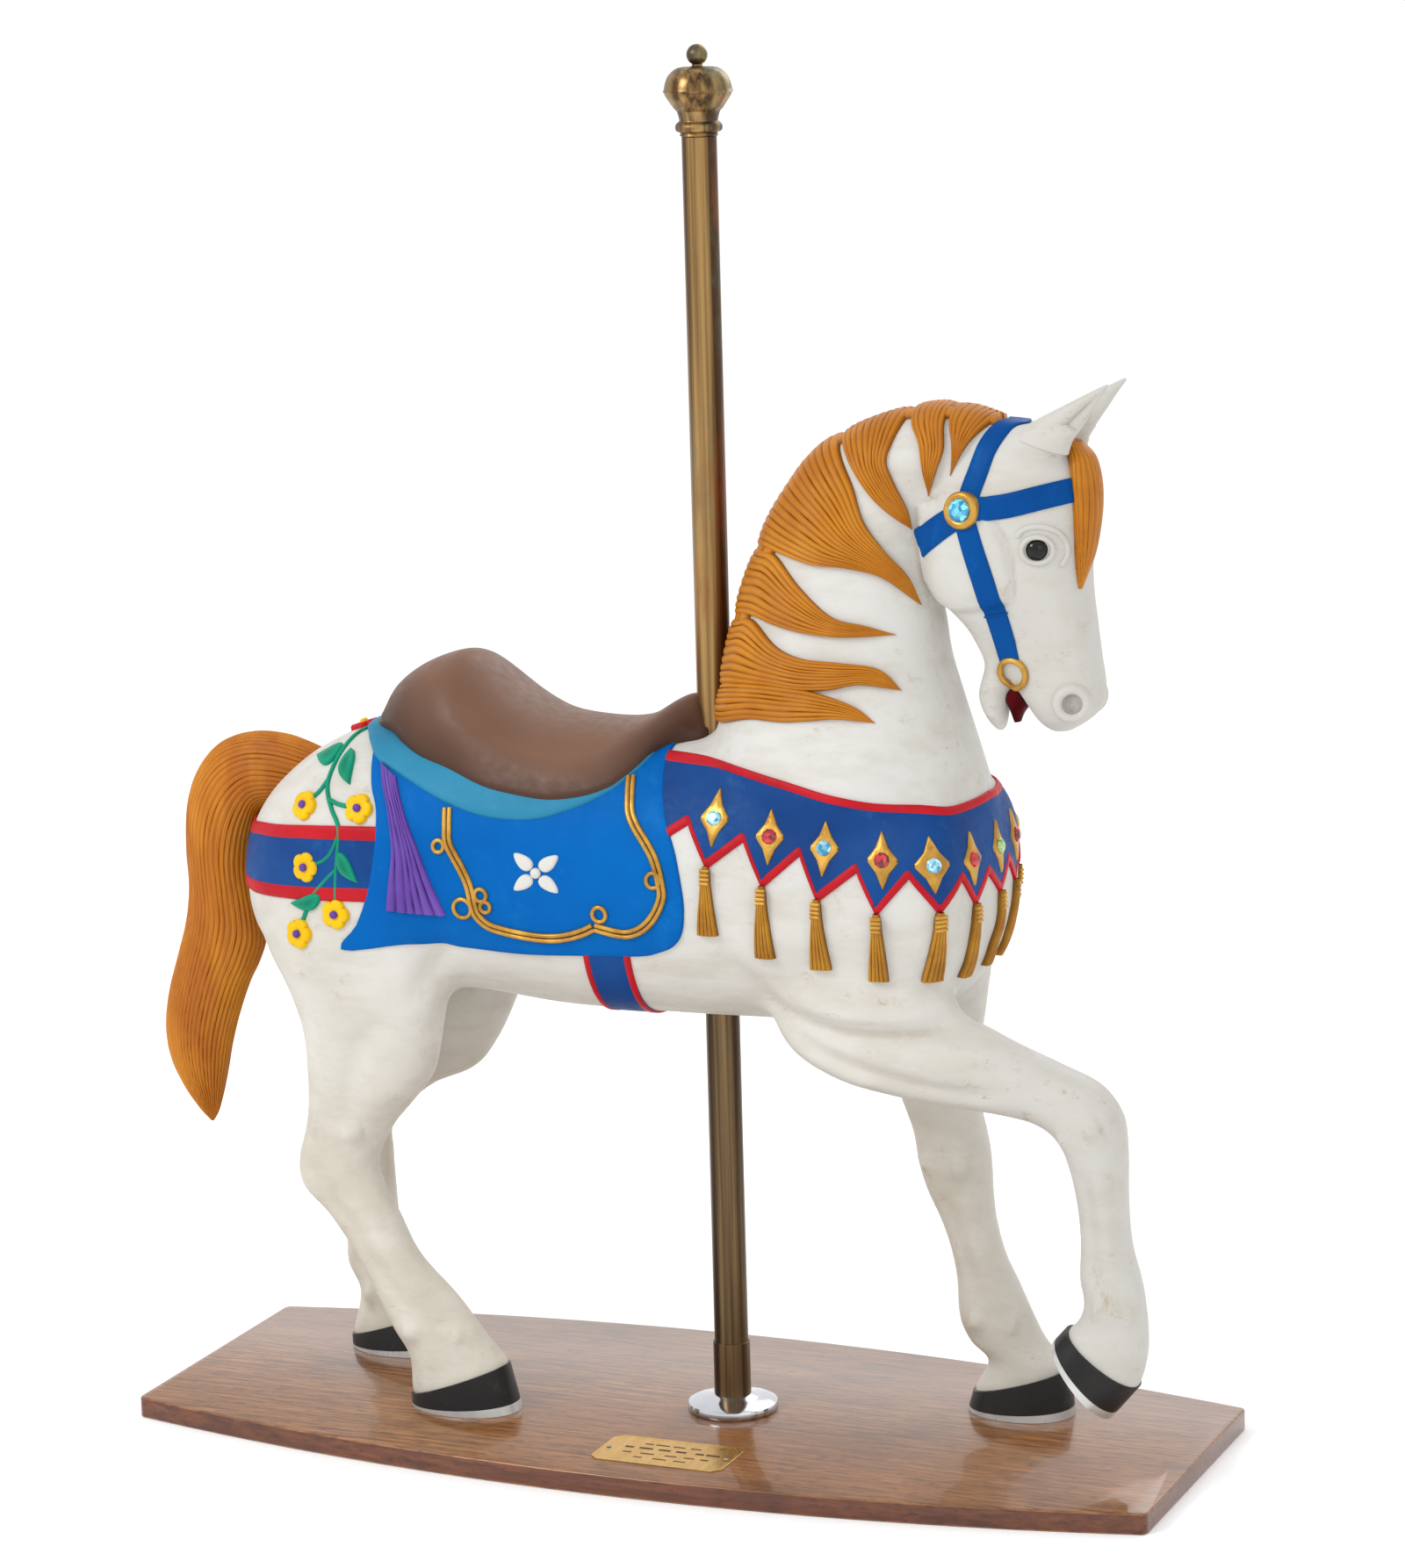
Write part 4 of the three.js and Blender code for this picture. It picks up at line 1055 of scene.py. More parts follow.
# Painted shade: the grey inside a nostril stands for its dark hollow
NOSTRIL_SHADE = paint("nostril painted shade", (158, 156, 150), (128, 124, 116), 0.5, 60, dirt=(96, 88, 78))
SILVER = paint("silver paint", (206, 206, 204), (180, 180, 178), 0.3, 20, metallic=0.6, specular=0.5)
HOOF = paint("black paint", (20, 19, 19), (32, 30, 29), 0.38, 12, fine=60, coat=0.1, dirt=(56, 52, 48))
# Red paint of the mouth, darkened as painted shade of the opening
MOUTH_RED_AND_SHADE = paint("mouth red paint darkened as shade", (84, 2, 8), (36, 0, 4), 0.4, 30, specular=0.06)
BRASS = pole_brass()
CHROME = metal("chrome", (214, 216, 220), (190, 192, 198), 0.1, 6)
PLAQUE_BRASS = metal("plaque brass", (212, 170, 92), (196, 148, 70), 0.28, 14, (8, 1, 1))
STEEL = metal("screw steel", (190, 186, 176), (150, 146, 138), 0.35, 40)
INK = paint("plaque strokes", (70, 48, 22), (54, 36, 16), 0.5, 60)
EYE_GLASS = glass("black glass", (4, 4, 5), (10, 10, 11), specular=0.35)
# The light tint of each stone is a painted glint on its facets
GEM_CYAN = glass("cyan glass", (0, 120, 170), (130, 230, 245))
GEM_AQUA = glass("aqua glass", (20, 130, 170), (190, 240, 245))
GEM_RED = glass("red glass", (96, 0, 14), (210, 24, 44))
GEM_LIME = glass("lime glass", (96, 140, 60), (190, 220, 150))
BOARD_TOP = veneer("polished veneer", (80, 48, 26), (172, 120, 74), (128, 80, 42))
BOARD_RIM = veneer("polished board edge", (66, 32, 18), (124, 70, 42), (94, 48, 28))

body_points, body_faces = skin()
body_points = softened(body_points, body_faces)
body_points = modelled(body_points, body_faces)
body = Surface(body_points, body_faces)

trunk_chart = TrunkChart()
breast_chart = BreastChart()


# Body, hooves, ears, mouth, nostrils and eyes
BAND_HEIGHT = 5.5
BAND_RISE = 0.8
# Share of the ear's depth that is hollowed out
EAR_HOLLOW = 0.75
MOUTH = [
    [408, 829, 415, 830, 5], [405, 838, 418, 838, 8], [402, 846, 423, 845, 11],
    [399, 853, 428, 850, 15], [400, 860, 430, 856, 18], [406, 867, 428, 863, 20],
    [408, 878, 422, 874, 18],
]
NOSTRIL = (484, 858)
NOSTRIL_RIM = [
    (22, -5), (21.5, -1), (20, 2.5), (17.5, 4.6), (15, 5), (12.5, 4), (11, 1.8), (9, 0.8),
    (5, 0.5), (0.2, 0.5),
]
NOSTRIL_HOLLOW = [(12, 0), (11.4, 1.9), (8.5, 1.2), (4, 1), (0.2, 1)]
EYE = (454, 1024)
EYE_RADIUS = 13.5
EYE_SINK = 7.5
BROW = [(434, 1038), (441, 1046), (456, 1049), (472, 1044), (481, 1032), (482, 1018), (476, 1006)]
ROSETTE = (376, 1065)


def hooves(piece):
    # A black hoof and a silver band at its sole on each leg
    for y, _, rows in LEGS.values():
        top, sole = full_rows(rows)
        height = np.linalg.norm(sole[:4] - top[:4]) / 2
        split = top + (sole - top) * (1 - BAND_HEIGHT / height)
        lip = split + [0, 0, 0, 0, BAND_RISE, 0]
        piece.add(plain(*loft([top, split], y=y, sides=72, power=2.1, steps=5)), HOOF)
        piece.add(plain(*loft([lip, sole], y=y, sides=72, power=2.1, steps=2)), SILVER)


def ears(piece):
    # Each ear is hollowed on the side that looks forwards and outwards
    for hand in HANDS:
        points = loft_points(EAR, y=hand * EAR_Y, sides=32, power=2.0, steps=6)
        angle = np.linspace(0, FULL_TURN, points.shape[1], endpoint=False)
        ahead = np.clip(np.cos(angle - math.pi + hand * 0.9), 0, 1) ** 3
        along = np.clip((np.linspace(0, 1, len(points)) - 0.15) / 0.8, 0, 1)
        hollow = np.clip(np.sin(math.pi * along), 0, 1)
        share = EAR_HOLLOW * ahead[None, :, None] * hollow[:, None, None]
        points += (points.mean(1, keepdims=True) - points) * share
        piece.add(plain(*tube(points)), WHITE)


def mouth(piece):
    # Red mouth, darkened as painted shade of the opening between the lips
    piece.add(plain(*loft(MOUTH, sides=32, power=2.4, steps=3)), MOUTH_RED_AND_SHADE)


def nostrils(piece):
    for hand in HANDS:
        spot = spot_on(SideChart(hand), NOSTRIL)
        piece.add(placed(turned(NOSTRIL_RIM, 40), spot), WHITE)
        # A grey disc of painted shade in the nostril's hollow
        piece.add(placed(turned(NOSTRIL_HOLLOW, 40), spot), NOSTRIL_SHADE)


def eyelids(piece):
    x, z = EYE
    angle = np.linspace(0, FULL_TURN, 12, endpoint=False)
    ring = np.stack([x + 15.5 * np.cos(angle), z + 14 * np.sin(angle)], 1)
    for hand in HANDS:
        chart = SideChart(hand)
        piece.add(bead(chart.lay(ring)[0], 3.0, closed=True, sunk=0.4), WHITE)
        piece.add(bead(chart.lay(np.array(BROW, float))[0], 3.4, sunk=0.6), WHITE)


def eyes():
    piece = Piece("horse_eyes", "eye_glass", ("eye_right", "eye_left"))
    angles = np.linspace(-math.pi / 2, math.pi / 2, 24)
    profile = [(max(EYE_RADIUS * math.cos(a), 0.1), EYE_RADIUS * math.sin(a) - EYE_SINK) for a in angles]
    for hand in HANDS:
        piece.add(placed(turned(profile, 48), spot_on(SideChart(hand), EYE)), EYE_GLASS)
    return piece.make(80)


# Cut stones: girdle, crown facets and table
DIAMOND_RISE = 5
# Slot, glass and places in the band, counted from the right flank round to the left
STONES = [
    ("aqua_glass", GEM_AQUA, (0, 2, 4, 8)), ("red_glass", GEM_RED, (1, 3, 5, 7)),
    ("lime_glass", GEM_LIME, (6,)),
]
STONE_NODES = [f"right_{k}" for k in range(1, 7)] + ["centre", "left_6", "left_5"]


def gem(radius, height, sides=10):
    # The rings are reach, height and a shift of half a facet
    rings = [
        (0.9 * radius, -1.5, 0), (radius, 0, 0), (radius, 0.25 * height, 0),
        (0.8 * radius, 0.7 * height, 0.5), (0.52 * radius, height, 0),
    ]
    points = []
    for reach, level, shift in rings:
        for k in range(sides):
            angle = (k + shift) * FULL_TURN / sides
            points.append((reach * math.cos(angle), reach * math.sin(angle), level))
    faces = []
    for i, (lower, upper) in enumerate(zip(rings, rings[1:])):
        for k in range(sides):
            a, b = i * sides + k, i * sides + (k + 1) % sides
            if upper[2] == lower[2]:
                faces.append((a, b, b + sides, a + sides))
            elif upper[2] > lower[2]:
                faces += [(a, b, a + sides), (b, b + sides, a + sides)]
            else:
                faces += [(a, b, b + sides), (a, b + sides, a + sides)]
    faces.append(tuple((len(rings) - 1) * sides + k for k in range(sides)))
    faces.append(tuple(range(sides))[::-1])
    return plain(np.array(points), faces)


def jewels():
    spots = whole_round(breast_flat(JEWELS))
    for slot, tint, numbers in STONES:
        nodes = ["breast_jewel_" + STONE_NODES[number] for number in numbers]
        bridle_too = slot == "aqua_glass"
        if bridle_too:
            nodes += ["rosette_jewel_right", "rosette_jewel_left"]
        piece = Piece(f"cut_{slot}", slot, nodes)
        for number in numbers:
            piece.add(placed(gem(8.5, 4.5), spot_on(breast_chart, spots[number]), DIAMOND_RISE), tint)
        if bridle_too:
            for hand in HANDS:
                piece.add(placed(gem(12.5, 6, 14), spot_on(SideChart(hand), ROSETTE), 7.5), GEM_CYAN)
        piece.make(4)


def horse_body():
    piece = Piece("horse_body")
    piece.add(plain(body_points, body_faces.tolist()), WHITE)
    ears(piece)
    mouth(piece)
    nostrils(piece)
    eyelids(piece)
    hooves(piece)
    return piece.make()


# Saddle: where the seat stands above the back it shows, elsewhere the flap lies on the flank
SADDLE_EDGE = [
    (-346, 798, 0), (-343, 800, -24), (-333, 806, -44), (-317, 811, -60), (-299, 806, -75),
    (-281, 794, -88), (-255, 779, -100), (-217, 760),
    (-171, 745), (-129, 738), (-89, 735), (-50, 740), (-23, 749), (-7, 760), (7, 774, -83),
    (18, 788, -60), (34, 796, -40), (56, 800, -26), (68, 802, 0),
]
PAD_EDGE = [
    (-356, 797, 0), (-352, 793, -30), (-340, 785, -52), (-327, 777, -72), (-307, 766), (-263, 750),
    (-217, 732), (-175, 720), (-135, 716), (-96, 719), (-58, 731), (-31, 743), (-5, 760), (16, 785, -66),
    (20, 798, 0),
]
BLANKET_EDGE = [
    (-328, 800, 0), (-324, 790, -50), (-322, 777, -73), (-308, 745), (-296, 718), (-295, 680),
    (-304, 630), (-322, 589), (-341, 560), (-266, 569), (-205, 571), (-135, 567), (-55, 570),
    (16, 574), (41, 580), (60, 589), (71, 604), (75, 625), (74, 650), (66, 689), (55, 717),
    (45, 745), (37, 770), (31, 789, -58), (30, 800, 0),
]
SADDLE_RISE = 10
SADDLE_BLEND = 14
# The edge's shade: how far it reaches in, and the least of it that stays as it is laid
SADDLE_SHADE = 55
SADDLE_INNER = 0.9
SADDLE_PASSES = 12
PAD_RISE = 7
CLOTH_RISE = 3.5
STRAP_RISE = 2.5
TRIM_RISE = 3.1


def both_sides(edge, steps=4):
    # An outline on the right flank from the spine and back to it, closed over to the left flank
    near = trunk_chart.flatten(side_points(edge))
    near[0, 1] = near[-1, 1] = 0
    near = spline(near, steps)
    far = near[::-1][1:-1] * [1, -1]
    return np.vstack([near, far])


class SaddleChart:
    # The trunk and the seat that rises from it, blended where they meet
    def __init__(self):
        points, faces = loft(SEAT, sides=120, power=2.1, steps=12)
        self.tree = BVHTree.FromPolygons(points.tolist(), faces)

    def seat_reach(self, middle, out):
        # How far the seat stands from the trunk's axis
        reach = np.zeros(len(middle))
        for i, (start, ray) in enumerate(zip(middle + out * FAR, -out)):
            hit = self.tree.ray_cast(Vector(start), Vector(ray), FAR)
            if hit[0] is not None:
                reach[i] = FAR - hit[3]
        return reach

    def lay(self, flat):
        middle, out = rays_round(flat)
        places, normals = trunk_chart.lay(flat)
        low = ((places - middle) * out).sum(1)
        high = self.seat_reach(middle, out) - SADDLE_RISE
        share = np.clip(0.5 + 0.5 * (high - low) / SADDLE_BLEND, 0, 1)
        raised = share * high + (1 - share) * low + SADDLE_BLEND * share * (1 - share)
        reach = np.maximum(raised, low)
        lean = np.clip((reach - low) / SADDLE_RISE, 0, 1)
        thicker = 1 / np.clip((normals * out).sum(1), 0.6, 1) - 1
        return middle + out * reach[:, None], out * (1 + thicker * (1 - lean))[:, None]


def edge_shade(flat, distance):
    # No extra height, and a shade that fades away from the edge
    return 0 * distance, np.clip(1 - distance / SADDLE_SHADE, 0, 1)


def relaxed(part):
    # Evens out a patch of triangles away from its edge
    points, faces, depth = part
    inner = (depth < SADDLE_INNER).astype(float)
    corners = np.array([list(face) for face in faces])
    return evened(points, corners, [inner] * SADDLE_PASSES), faces, depth


def saddle_wall():
    # The underside of the saddle, from its rim down to the pad
    outline = cornered(both_sides(SADDLE_EDGE), 4)
    upper, normals = SaddleChart().lay(outline)
    lower, _ = trunk_chart.lay(outline * [1, 0.94])
    points = np.concatenate([upper - normals * SINK, lower])
    return plain(points, outward(points, tube_faces(2, len(outline), False)))


def saddle():
    piece = Piece("horse_saddle")
    seat = patch(both_sides(SADDLE_EDGE), SaddleChart(), SADDLE_RISE, 4, 4.5, edge_shade)
    piece.add(relaxed(seat), LEATHER)
    piece.add(saddle_wall(), LEATHER)
    piece.add(patch(both_sides(PAD_EDGE), trunk_chart, PAD_RISE, 5, 4), TEAL)
    return piece.make(70)


# Blanket with its gold cord, drape and ornament, girth and crupper
CORD = [
    [(-208, 725), (-206, 706), (-204, 690), (-196, 676), (-186, 660), (-178, 642), (-174, 620), (-170, 610),
     (-158, 600), (-140, 595), (-121, 592), (-98, 590), (-76, 591), (-58, 595), (-44, 600), (-32, 606)],
    [(-30, 606), (-16, 603), (-4, 601), (9, 601), (24, 607), (36, 617), (45, 630), (51, 645), (50, 658),
     (46, 674), (40, 688), (30, 702), (18, 716), (9, 730), (5, 745), (0, 764)],
]
RINGS = [(-215, 685, 6.5), (-188, 618, 10.5), (-165, 634, 7), (-160, 621, 6), (-24, 621, 8), (41, 662, 8)]
CORD_GAP = 2.9
ORNAMENT = (-98, 662)
DRAPE_FIRST = [(-302, 764), (-290, 740), (-280, 718), (-273, 680), (-277, 645), (-283, 608)]
DRAPE_SECOND = [(-276, 751), (-264, 728), (-252, 705), (-239, 680), (-226, 650), (-206, 606)]
# The middle of the crupper: x, z and the share of its trim's distance on the side, x, y, z behind
CRUPPER = [(-280, 660, 1), (-330, 658, 1), (-380, 655, 1), (-430, 651, 0.97), (-470, 648, 0.93)]
CRUPPER_REAR = [(-492, -64, 646), (-505, -34, 645), (-511, 0, 645)]
CRUPPER_WIDTHS = (86, 76, 86)
CRUPPER_TRIM = 34
CRUPPER_TRIM_SHARE = 0.88
CRUPPER_TRIM_WIDTHS = (17, 14, 17)
GIRTH_SIDE = [(-22, 585), (-23, 555), (-24, 530)]
GIRTH_BANDS = [(56, STRAP_RISE, 0, DARK_BLUE), (8, TRIM_RISE, -24, RED), (8, TRIM_RISE, 24, RED)]


def twin_cord(path, hand):
    # Two strands side by side along a path, on either side of the horse
    places = side_points(path)
    normals = body.nearest(places)[1]
    side = unit(np.cross(normals, np.gradient(places, axis=0)))
    return [(places + side * sign * CORD_GAP) * [1, -hand, 1] for sign in (-1, 1)]


def ring_path(x, z, radius, hand):
    angle = np.linspace(0, FULL_TURN, 12, endpoint=False)
    circle = np.stack([x + radius * np.cos(angle), z + radius * np.sin(angle)], 1)
    return SideChart(hand).lay(circle)[0]


def ornament(piece, hand):
    # Four plain petals round a boss
    x, z = ORNAMENT
    chart = SideChart(hand)
    t = np.linspace(0, FULL_TURN, 20, endpoint=False)
    along = 20 + 14 * np.cos(t)
    across = 8 * np.sin(t) * (1 - 0.35 * np.cos(t))
    for turn in range(4):
        angle = math.pi / 4 + turn * math.pi / 2
        petal_x = x + along * math.cos(angle) * 1.1 - across * math.sin(angle)
        petal_z = z + along * math.sin(angle) * 0.85 + across * math.cos(angle)
        piece.add(patch(np.stack([petal_x, petal_z], 1), chart, CLOTH_RISE + 2.4, 3, 2.4), WHITE)
    boss = turned([(6, 0), (5.8, 2.2), (4, 3.8), (0.2, 4.2)], 24)
    piece.add(placed(boss, spot_on(chart, ORNAMENT), CLOTH_RISE), WHITE)


def crupper_path(shift):
    # Round the rump under the tail, between the two sides of the blanket
    near = side_points([(x, z + shift * share) for x, z, share in CRUPPER])
    rear = [(x + 0.3 * max(shift, 0), y, z + CRUPPER_TRIM_SHARE * shift) for x, y, z in CRUPPER_REAR]
    half = np.vstack([near, rear])
    return np.vstack([half, mirrored(half[:-1])[::-1]])


def gold_cord(piece, hand):
    for path in CORD:
        for lane in twin_cord(path, hand):
            piece.add(bead(lane, 2.7, sunk=0.3, lift=CLOTH_RISE), GOLD)
    for x, z, radius in RINGS:
        ring = ring_path(x, z, radius, hand)
        piece.add(bead(ring, 2.4, closed=True, sunk=0.3, lift=CLOTH_RISE), GOLD)


def crupper(piece):
    piece.add(ribbon(crupper_path(0), CRUPPER_WIDTHS, STRAP_RISE), DARK_BLUE)
    for shift in (CRUPPER_TRIM, -CRUPPER_TRIM):
        piece.add(ribbon(crupper_path(shift), CRUPPER_TRIM_WIDTHS, TRIM_RISE), RED)


def girth(piece):
    for width, rise, shift, finish in GIRTH_BANDS:
        near = side_points([(x + shift, z) for x, z in GIRTH_SIDE])
        under = np.array([[-27 + shift, -60, 498], [-28 + shift, 0, 487]])
        path = np.vstack([near, under, mirrored(under)[:1], mirrored(near)[::-1]])
        piece.add(ribbon(path, (width,), rise), finish)


def tack():
    piece = Piece("horse_tack")
    piece.add(patch(both_sides(BLANKET_EDGE), trunk_chart, CLOTH_RISE, 6, 2.2), BLUE)
    for hand in HANDS:
        gold_cord(piece, hand)
        ornament(piece, hand)
    crupper(piece)
    girth(piece)
    drape = tress(DRAPE_FIRST, DRAPE_SECOND, SideChart(-1), 6, 9, groove=4, blunt=True, swirl=0.3)
    piece.add(drape, PURPLE)
    return piece.make()


# Breast band
BAND_TOP = [
    (26, 789, -57), (71, 787, -67), (131, 783, -90), (189, 774, -108), (241, 763, -112), (288, 755),
    (335, 752, -95), (366, 748, -70), (372, 752, 0),
]
ZIGZAG = [
    (30, 730), (52, 706), (77, 722), (102, 677), (143, 708), (167, 660), (209, 697), (232, 650), (276, 684),
    (299, 639), (334, 680), (361, 641, -120), (381, 672, -92), (388, 639, -66), (392, 668, -34),
    (394, 640, 0),
]
JEWELS = [(108, 730), (174, 715), (238, 707), (304, 698), (360, 694, -126), (377, 691, -65), (382, 692, 0)]
TASSEL_LENGTHS = [74, 78, 76, 76, 78, 80, 80]
DIAMOND = np.array([
    (18, 0), (7.4, 13), (0, 31), (-7.4, 13), (-18, 0), (-7.4, -13), (0, -31), (7.4, -13),
])


def whole_round(flat):
    # Places from the right flank to the middle of the breast, carried on to the left flank
    middle = TURN_X + QUARTER
    far = flat[::-1] * [-1, 1] + [2 * middle, 0]
    return np.vstack([flat, far[1:]])


def breast_flat(entries):
    flat = breast_chart.flatten(side_points(entries))
    flat[-1, 0] = TURN_X + QUARTER
    return flat


def tassel(piece, top, length):
    # Threads below a bound head; the rows are drop and half width
    rows = [(-4, 2.5), (2, 4.5), (14, 5.5), (20, 6), (40, 8.5), (length * 0.8, 11), (length, 12.5)]
    first, second = (np.array([top + [sign * half, -drop] for drop, half in rows]) for sign in (-1, 1))
    threads = tress(first, second, breast_chart, 5, 8, groove=2.6, blunt=True, swirl=0.1)
    piece.add(threads, TASSEL)
    for drop in (1, 5.5, 10, 14.5):
        turn = np.array([top + [side, -drop] for side in (-5.2, 0, 5.2)])
        piece.add(bead(breast_chart.lay(turn)[0], 2.1, sunk=0.5, lift=6.2 + drop * 0.06), GOLD)


def breast():
    piece = Piece("horse_breast")
    top = whole_round(spline(breast_flat(BAND_TOP), 4))
    zigzag = breast_flat(ZIGZAG)
    lower = whole_round(zigzag)
    piece.add(patch(np.vstack([top, lower[::-1]]), breast_chart, STRAP_RISE, 6, 1.8), DARK_BLUE)
    for trim in (np.vstack([top, (top - [0, 9])[::-1]]), np.vstack([lower + [0, 12], lower[::-1]])):
        piece.add(patch(trim, breast_chart, STRAP_RISE + 0.7, 5, 1.2), RED)
    for spot in whole_round(breast_flat(JEWELS)):
        piece.add(patch(spot + DIAMOND, breast_chart, DIAMOND_RISE, 4, 1.6), GOLD)
    lengths = TASSEL_LENGTHS + TASSEL_LENGTHS[-2::-1]
    for tip, length in zip(whole_round(zigzag[3::2]), lengths):
        tassel(piece, tip, length)
    return piece.make()


# Flowers on the rump
FLOWERS = [(-392, 716), (-318, 719), (-385, 650), (-347, 600), (-395, 574)]
FLOWER_RADIUS = 17.5
FLOWER_SIDES = 60
# On the spine behind the pad, as x and the turn round the trunk
CROUP_FLOWER = (-371, 0)
STEMS = [
    [(-350, 797, -20), (-360, 790, -40), (-363, 775), (-365, 760), (-365, 739), (-354, 717), (-343, 700),
     (-341, 680), (-344, 650), (-346, 616)],
    [(-366, 745), (-374, 733), (-384, 724)],
    [(-360, 726), (-346, 722), (-330, 720)],
    [(-341, 689), (-350, 670), (-360, 660), (-374, 654)],
    [(-345, 650), (-360, 636), (-378, 616), (-390, 590)],
]
# Base, tip, half width and bend of each leaf
LEAVES = [
    ((-364, 776), (-400, 762), 8, 5), ((-350, 775), (-335, 742), 9.5, -4),
    ((-340, 672), (-314, 637), 9, -4), ((-364, 620), (-408, 607), 9, 5),
]


def leaf(base, tip, half_width, bend):
    base, tip = np.array(base, float), np.array(tip, float)
    ahead = tip - base
    aside = unit(np.array([-ahead[1], ahead[0]]))
    share = np.linspace(0, 1, 12)[:, None]
    spine = base + ahead * share + aside * bend * np.sin(math.pi * share)
    reach = half_width * np.sin(math.pi * share ** 0.75)
    return np.vstack([spine + aside * reach, (spine - aside * reach)[-2:0:-1]])


def leaf_relief(flat, distance):
    # A ridge along the middle, darker than the edge
    return 0.22 * distance, np.clip(distance / 9, 0, 1)


def flower():
    # Five petals, domed at the rim and hollow in the middle
    profile = [(1, -3), (0.97, 1.6), (0.86, 3.4), (0.55, 3.6), (0.3, 2.6), (0.02, 2.4)]
    angle = np.linspace(0, FULL_TURN, FLOWER_SIDES, endpoint=False)
    swell = FLOWER_RADIUS * (0.8 + 0.2 * np.abs(np.cos(2.5 * angle)) ** 0.5)
    return turned(profile, FLOWER_SIDES, swell=swell)


def blossom(piece, spot, petals, centre):
    heart = turned([(4.6, 0), (4.4, 5.6), (3, 6.8), (0.2, 7.2)], 24)
    piece.add(placed(flower(), spot, 2), petals)
    piece.add(placed(heart, spot, 2), centre)


def flowers():
    piece = Piece("horse_flowers")
    for hand in HANDS:
        chart = SideChart(hand)
        for path in STEMS:
            piece.add(bead(side_points(path) * [1, -hand, 1], 2.6), GREEN)
        for shape in LEAVES:
            piece.add(patch(leaf(*shape), chart, 5, 2.5, 1.8, leaf_relief), GREEN)
        for place in FLOWERS:
            blossom(piece, spot_on(chart, place), YELLOW, VIOLET)
    blossom(piece, spot_on(trunk_chart, CROUP_FLOWER), RED, YELLOW)
    return piece.make()


# Bridle
# Path, widths, and whether the strap goes over to the other side
STRAPS = [
    ([(378, 1074), (389, 1103), (398, 1130, -40), (408, 1148, -26), (418, 1156, 0)], (24,), True),
    (
        [(384, 1066), (420, 1070), (457, 1079), (480, 1084, -34), (494, 1086, -18), (497, 1086, 0)],
        (26,), True,
    ),
    ([(376, 1062), (352, 1048), (333, 1035), (317, 1024)], (26, 32), False),
    ([(380, 1050), (391, 1012), (400, 980), (407, 950), (412, 920), (415, 900)], (25,), False),
]


def bridle():
    piece = Piece("horse_bridle")
    for path, widths, over in STRAPS:
        near = side_points(path)
        far = mirrored(near)
        for line in [np.vstack([near, far[-2::-1]])] if over else [near, far]:
            piece.add(ribbon(line, widths, STRAP_RISE, 3), BRIDLE_BLUE)
    rosette = [(20, -6), (20, 5), (19, 7.2), (17, 8), (13.4, 8), (12.6, 7.4), (0.2, 7.4)]
    for hand in HANDS:
        piece.add(placed(turned(rosette, 64), spot_on(SideChart(hand), ROSETTE)), GOLD)
        ring = ring_path(418, 887, 15.8, hand)
        piece.add(bead(ring, 3.4, closed=True, sunk=0.25, sides=14), GOLD)
        keeper = side_points([(394, 951), (407, 954), (421, 957)]) * [1, -hand, 1]
        piece.add(bead(keeper, 1.0, sunk=0.2, lift=STRAP_RISE), BRIDLE_BLUE)
    return piece.make()


# Mane: each lock has a lower and an upper edge from the crest to its tip, and its root on the crest
LOCKS = [
    (7, 8, [(62, 822), (90, 822), (134, 833), (178, 834), (209, 837), (240, 840), (281, 837)],
     [(66, 850), (100, 866), (150, 872), (200, 870), (236, 862), (262, 852), (281, 837)],
     [(62, 822), (64, 836), (66, 850)]),
    (9, 10, [(66, 850), (100, 864), (150, 870), (196, 868), (230, 870), (262, 876), (304, 870)],
     [(90, 928), (112, 934), (132, 937), (164, 913), (196, 902), (240, 899), (280, 893), (304, 870)],
     [(66, 850), (72, 870), (80, 895), (90, 928)]),
    (9, 9, [(90, 930), (110, 938), (132, 940), (160, 934), (195, 928), (240, 925), (295, 928)],
     [(116, 1006), (140, 1010), (160, 1006), (191, 976), (228, 947), (265, 938), (295, 928)],
     [(90, 930), (98, 955), (107, 980), (116, 1006)]),
    (16, 11, [(118, 1008), (140, 1012), (168, 1008), (205, 1000), (244, 998), (280, 988), (315, 957)],
     [(215, 1138), (226, 1124), (249, 1088), (262, 1049), (282, 1018), (301, 992), (315, 957)],
     [(118, 1008), (130, 1034), (150, 1066), (172, 1096), (194, 1122), (215, 1138)]),
    (10, 9, [(217, 1139), (233, 1122), (252, 1098), (272, 1073), (290, 1056), (309, 1039)],
     [(300, 1166), (299, 1154), (291, 1131), (287, 1112), (296, 1090), (307, 1062), (309, 1039)],
     [(217, 1139), (240, 1150), (270, 1160), (300, 1166)]),
    (7, 9, [(302, 1166), (310, 1148), (322, 1130), (327, 1102), (331, 1076)],
     [(347, 1171), (346, 1154), (350, 1128), (342, 1104), (331, 1076)],
     [(302, 1166), (325, 1170), (347, 1171)]),
    (7, 8, [(349, 1171), (350, 1154), (358, 1130), (357, 1099)],
     [(402, 1156), (390, 1148), (374, 1130), (357, 1099)],
     [(349, 1171), (375, 1169), (402, 1156)]),
]


CREST = [
    (60, 822), (66, 850), (80, 895), (92, 930), (106, 975), (118, 1008), (150, 1066),
    (194, 1122), (217, 1139), (270, 1160), (302, 1167), (349, 1171), (402, 1156),
]
UNDER_MANE = [
    (130, 836), (150, 868), (128, 905), (126, 938), (130, 975), (154, 1006), (180, 1060), (206, 1100),
    (226, 1126), (266, 1144), (302, 1154), (349, 1156), (398, 1150),
]


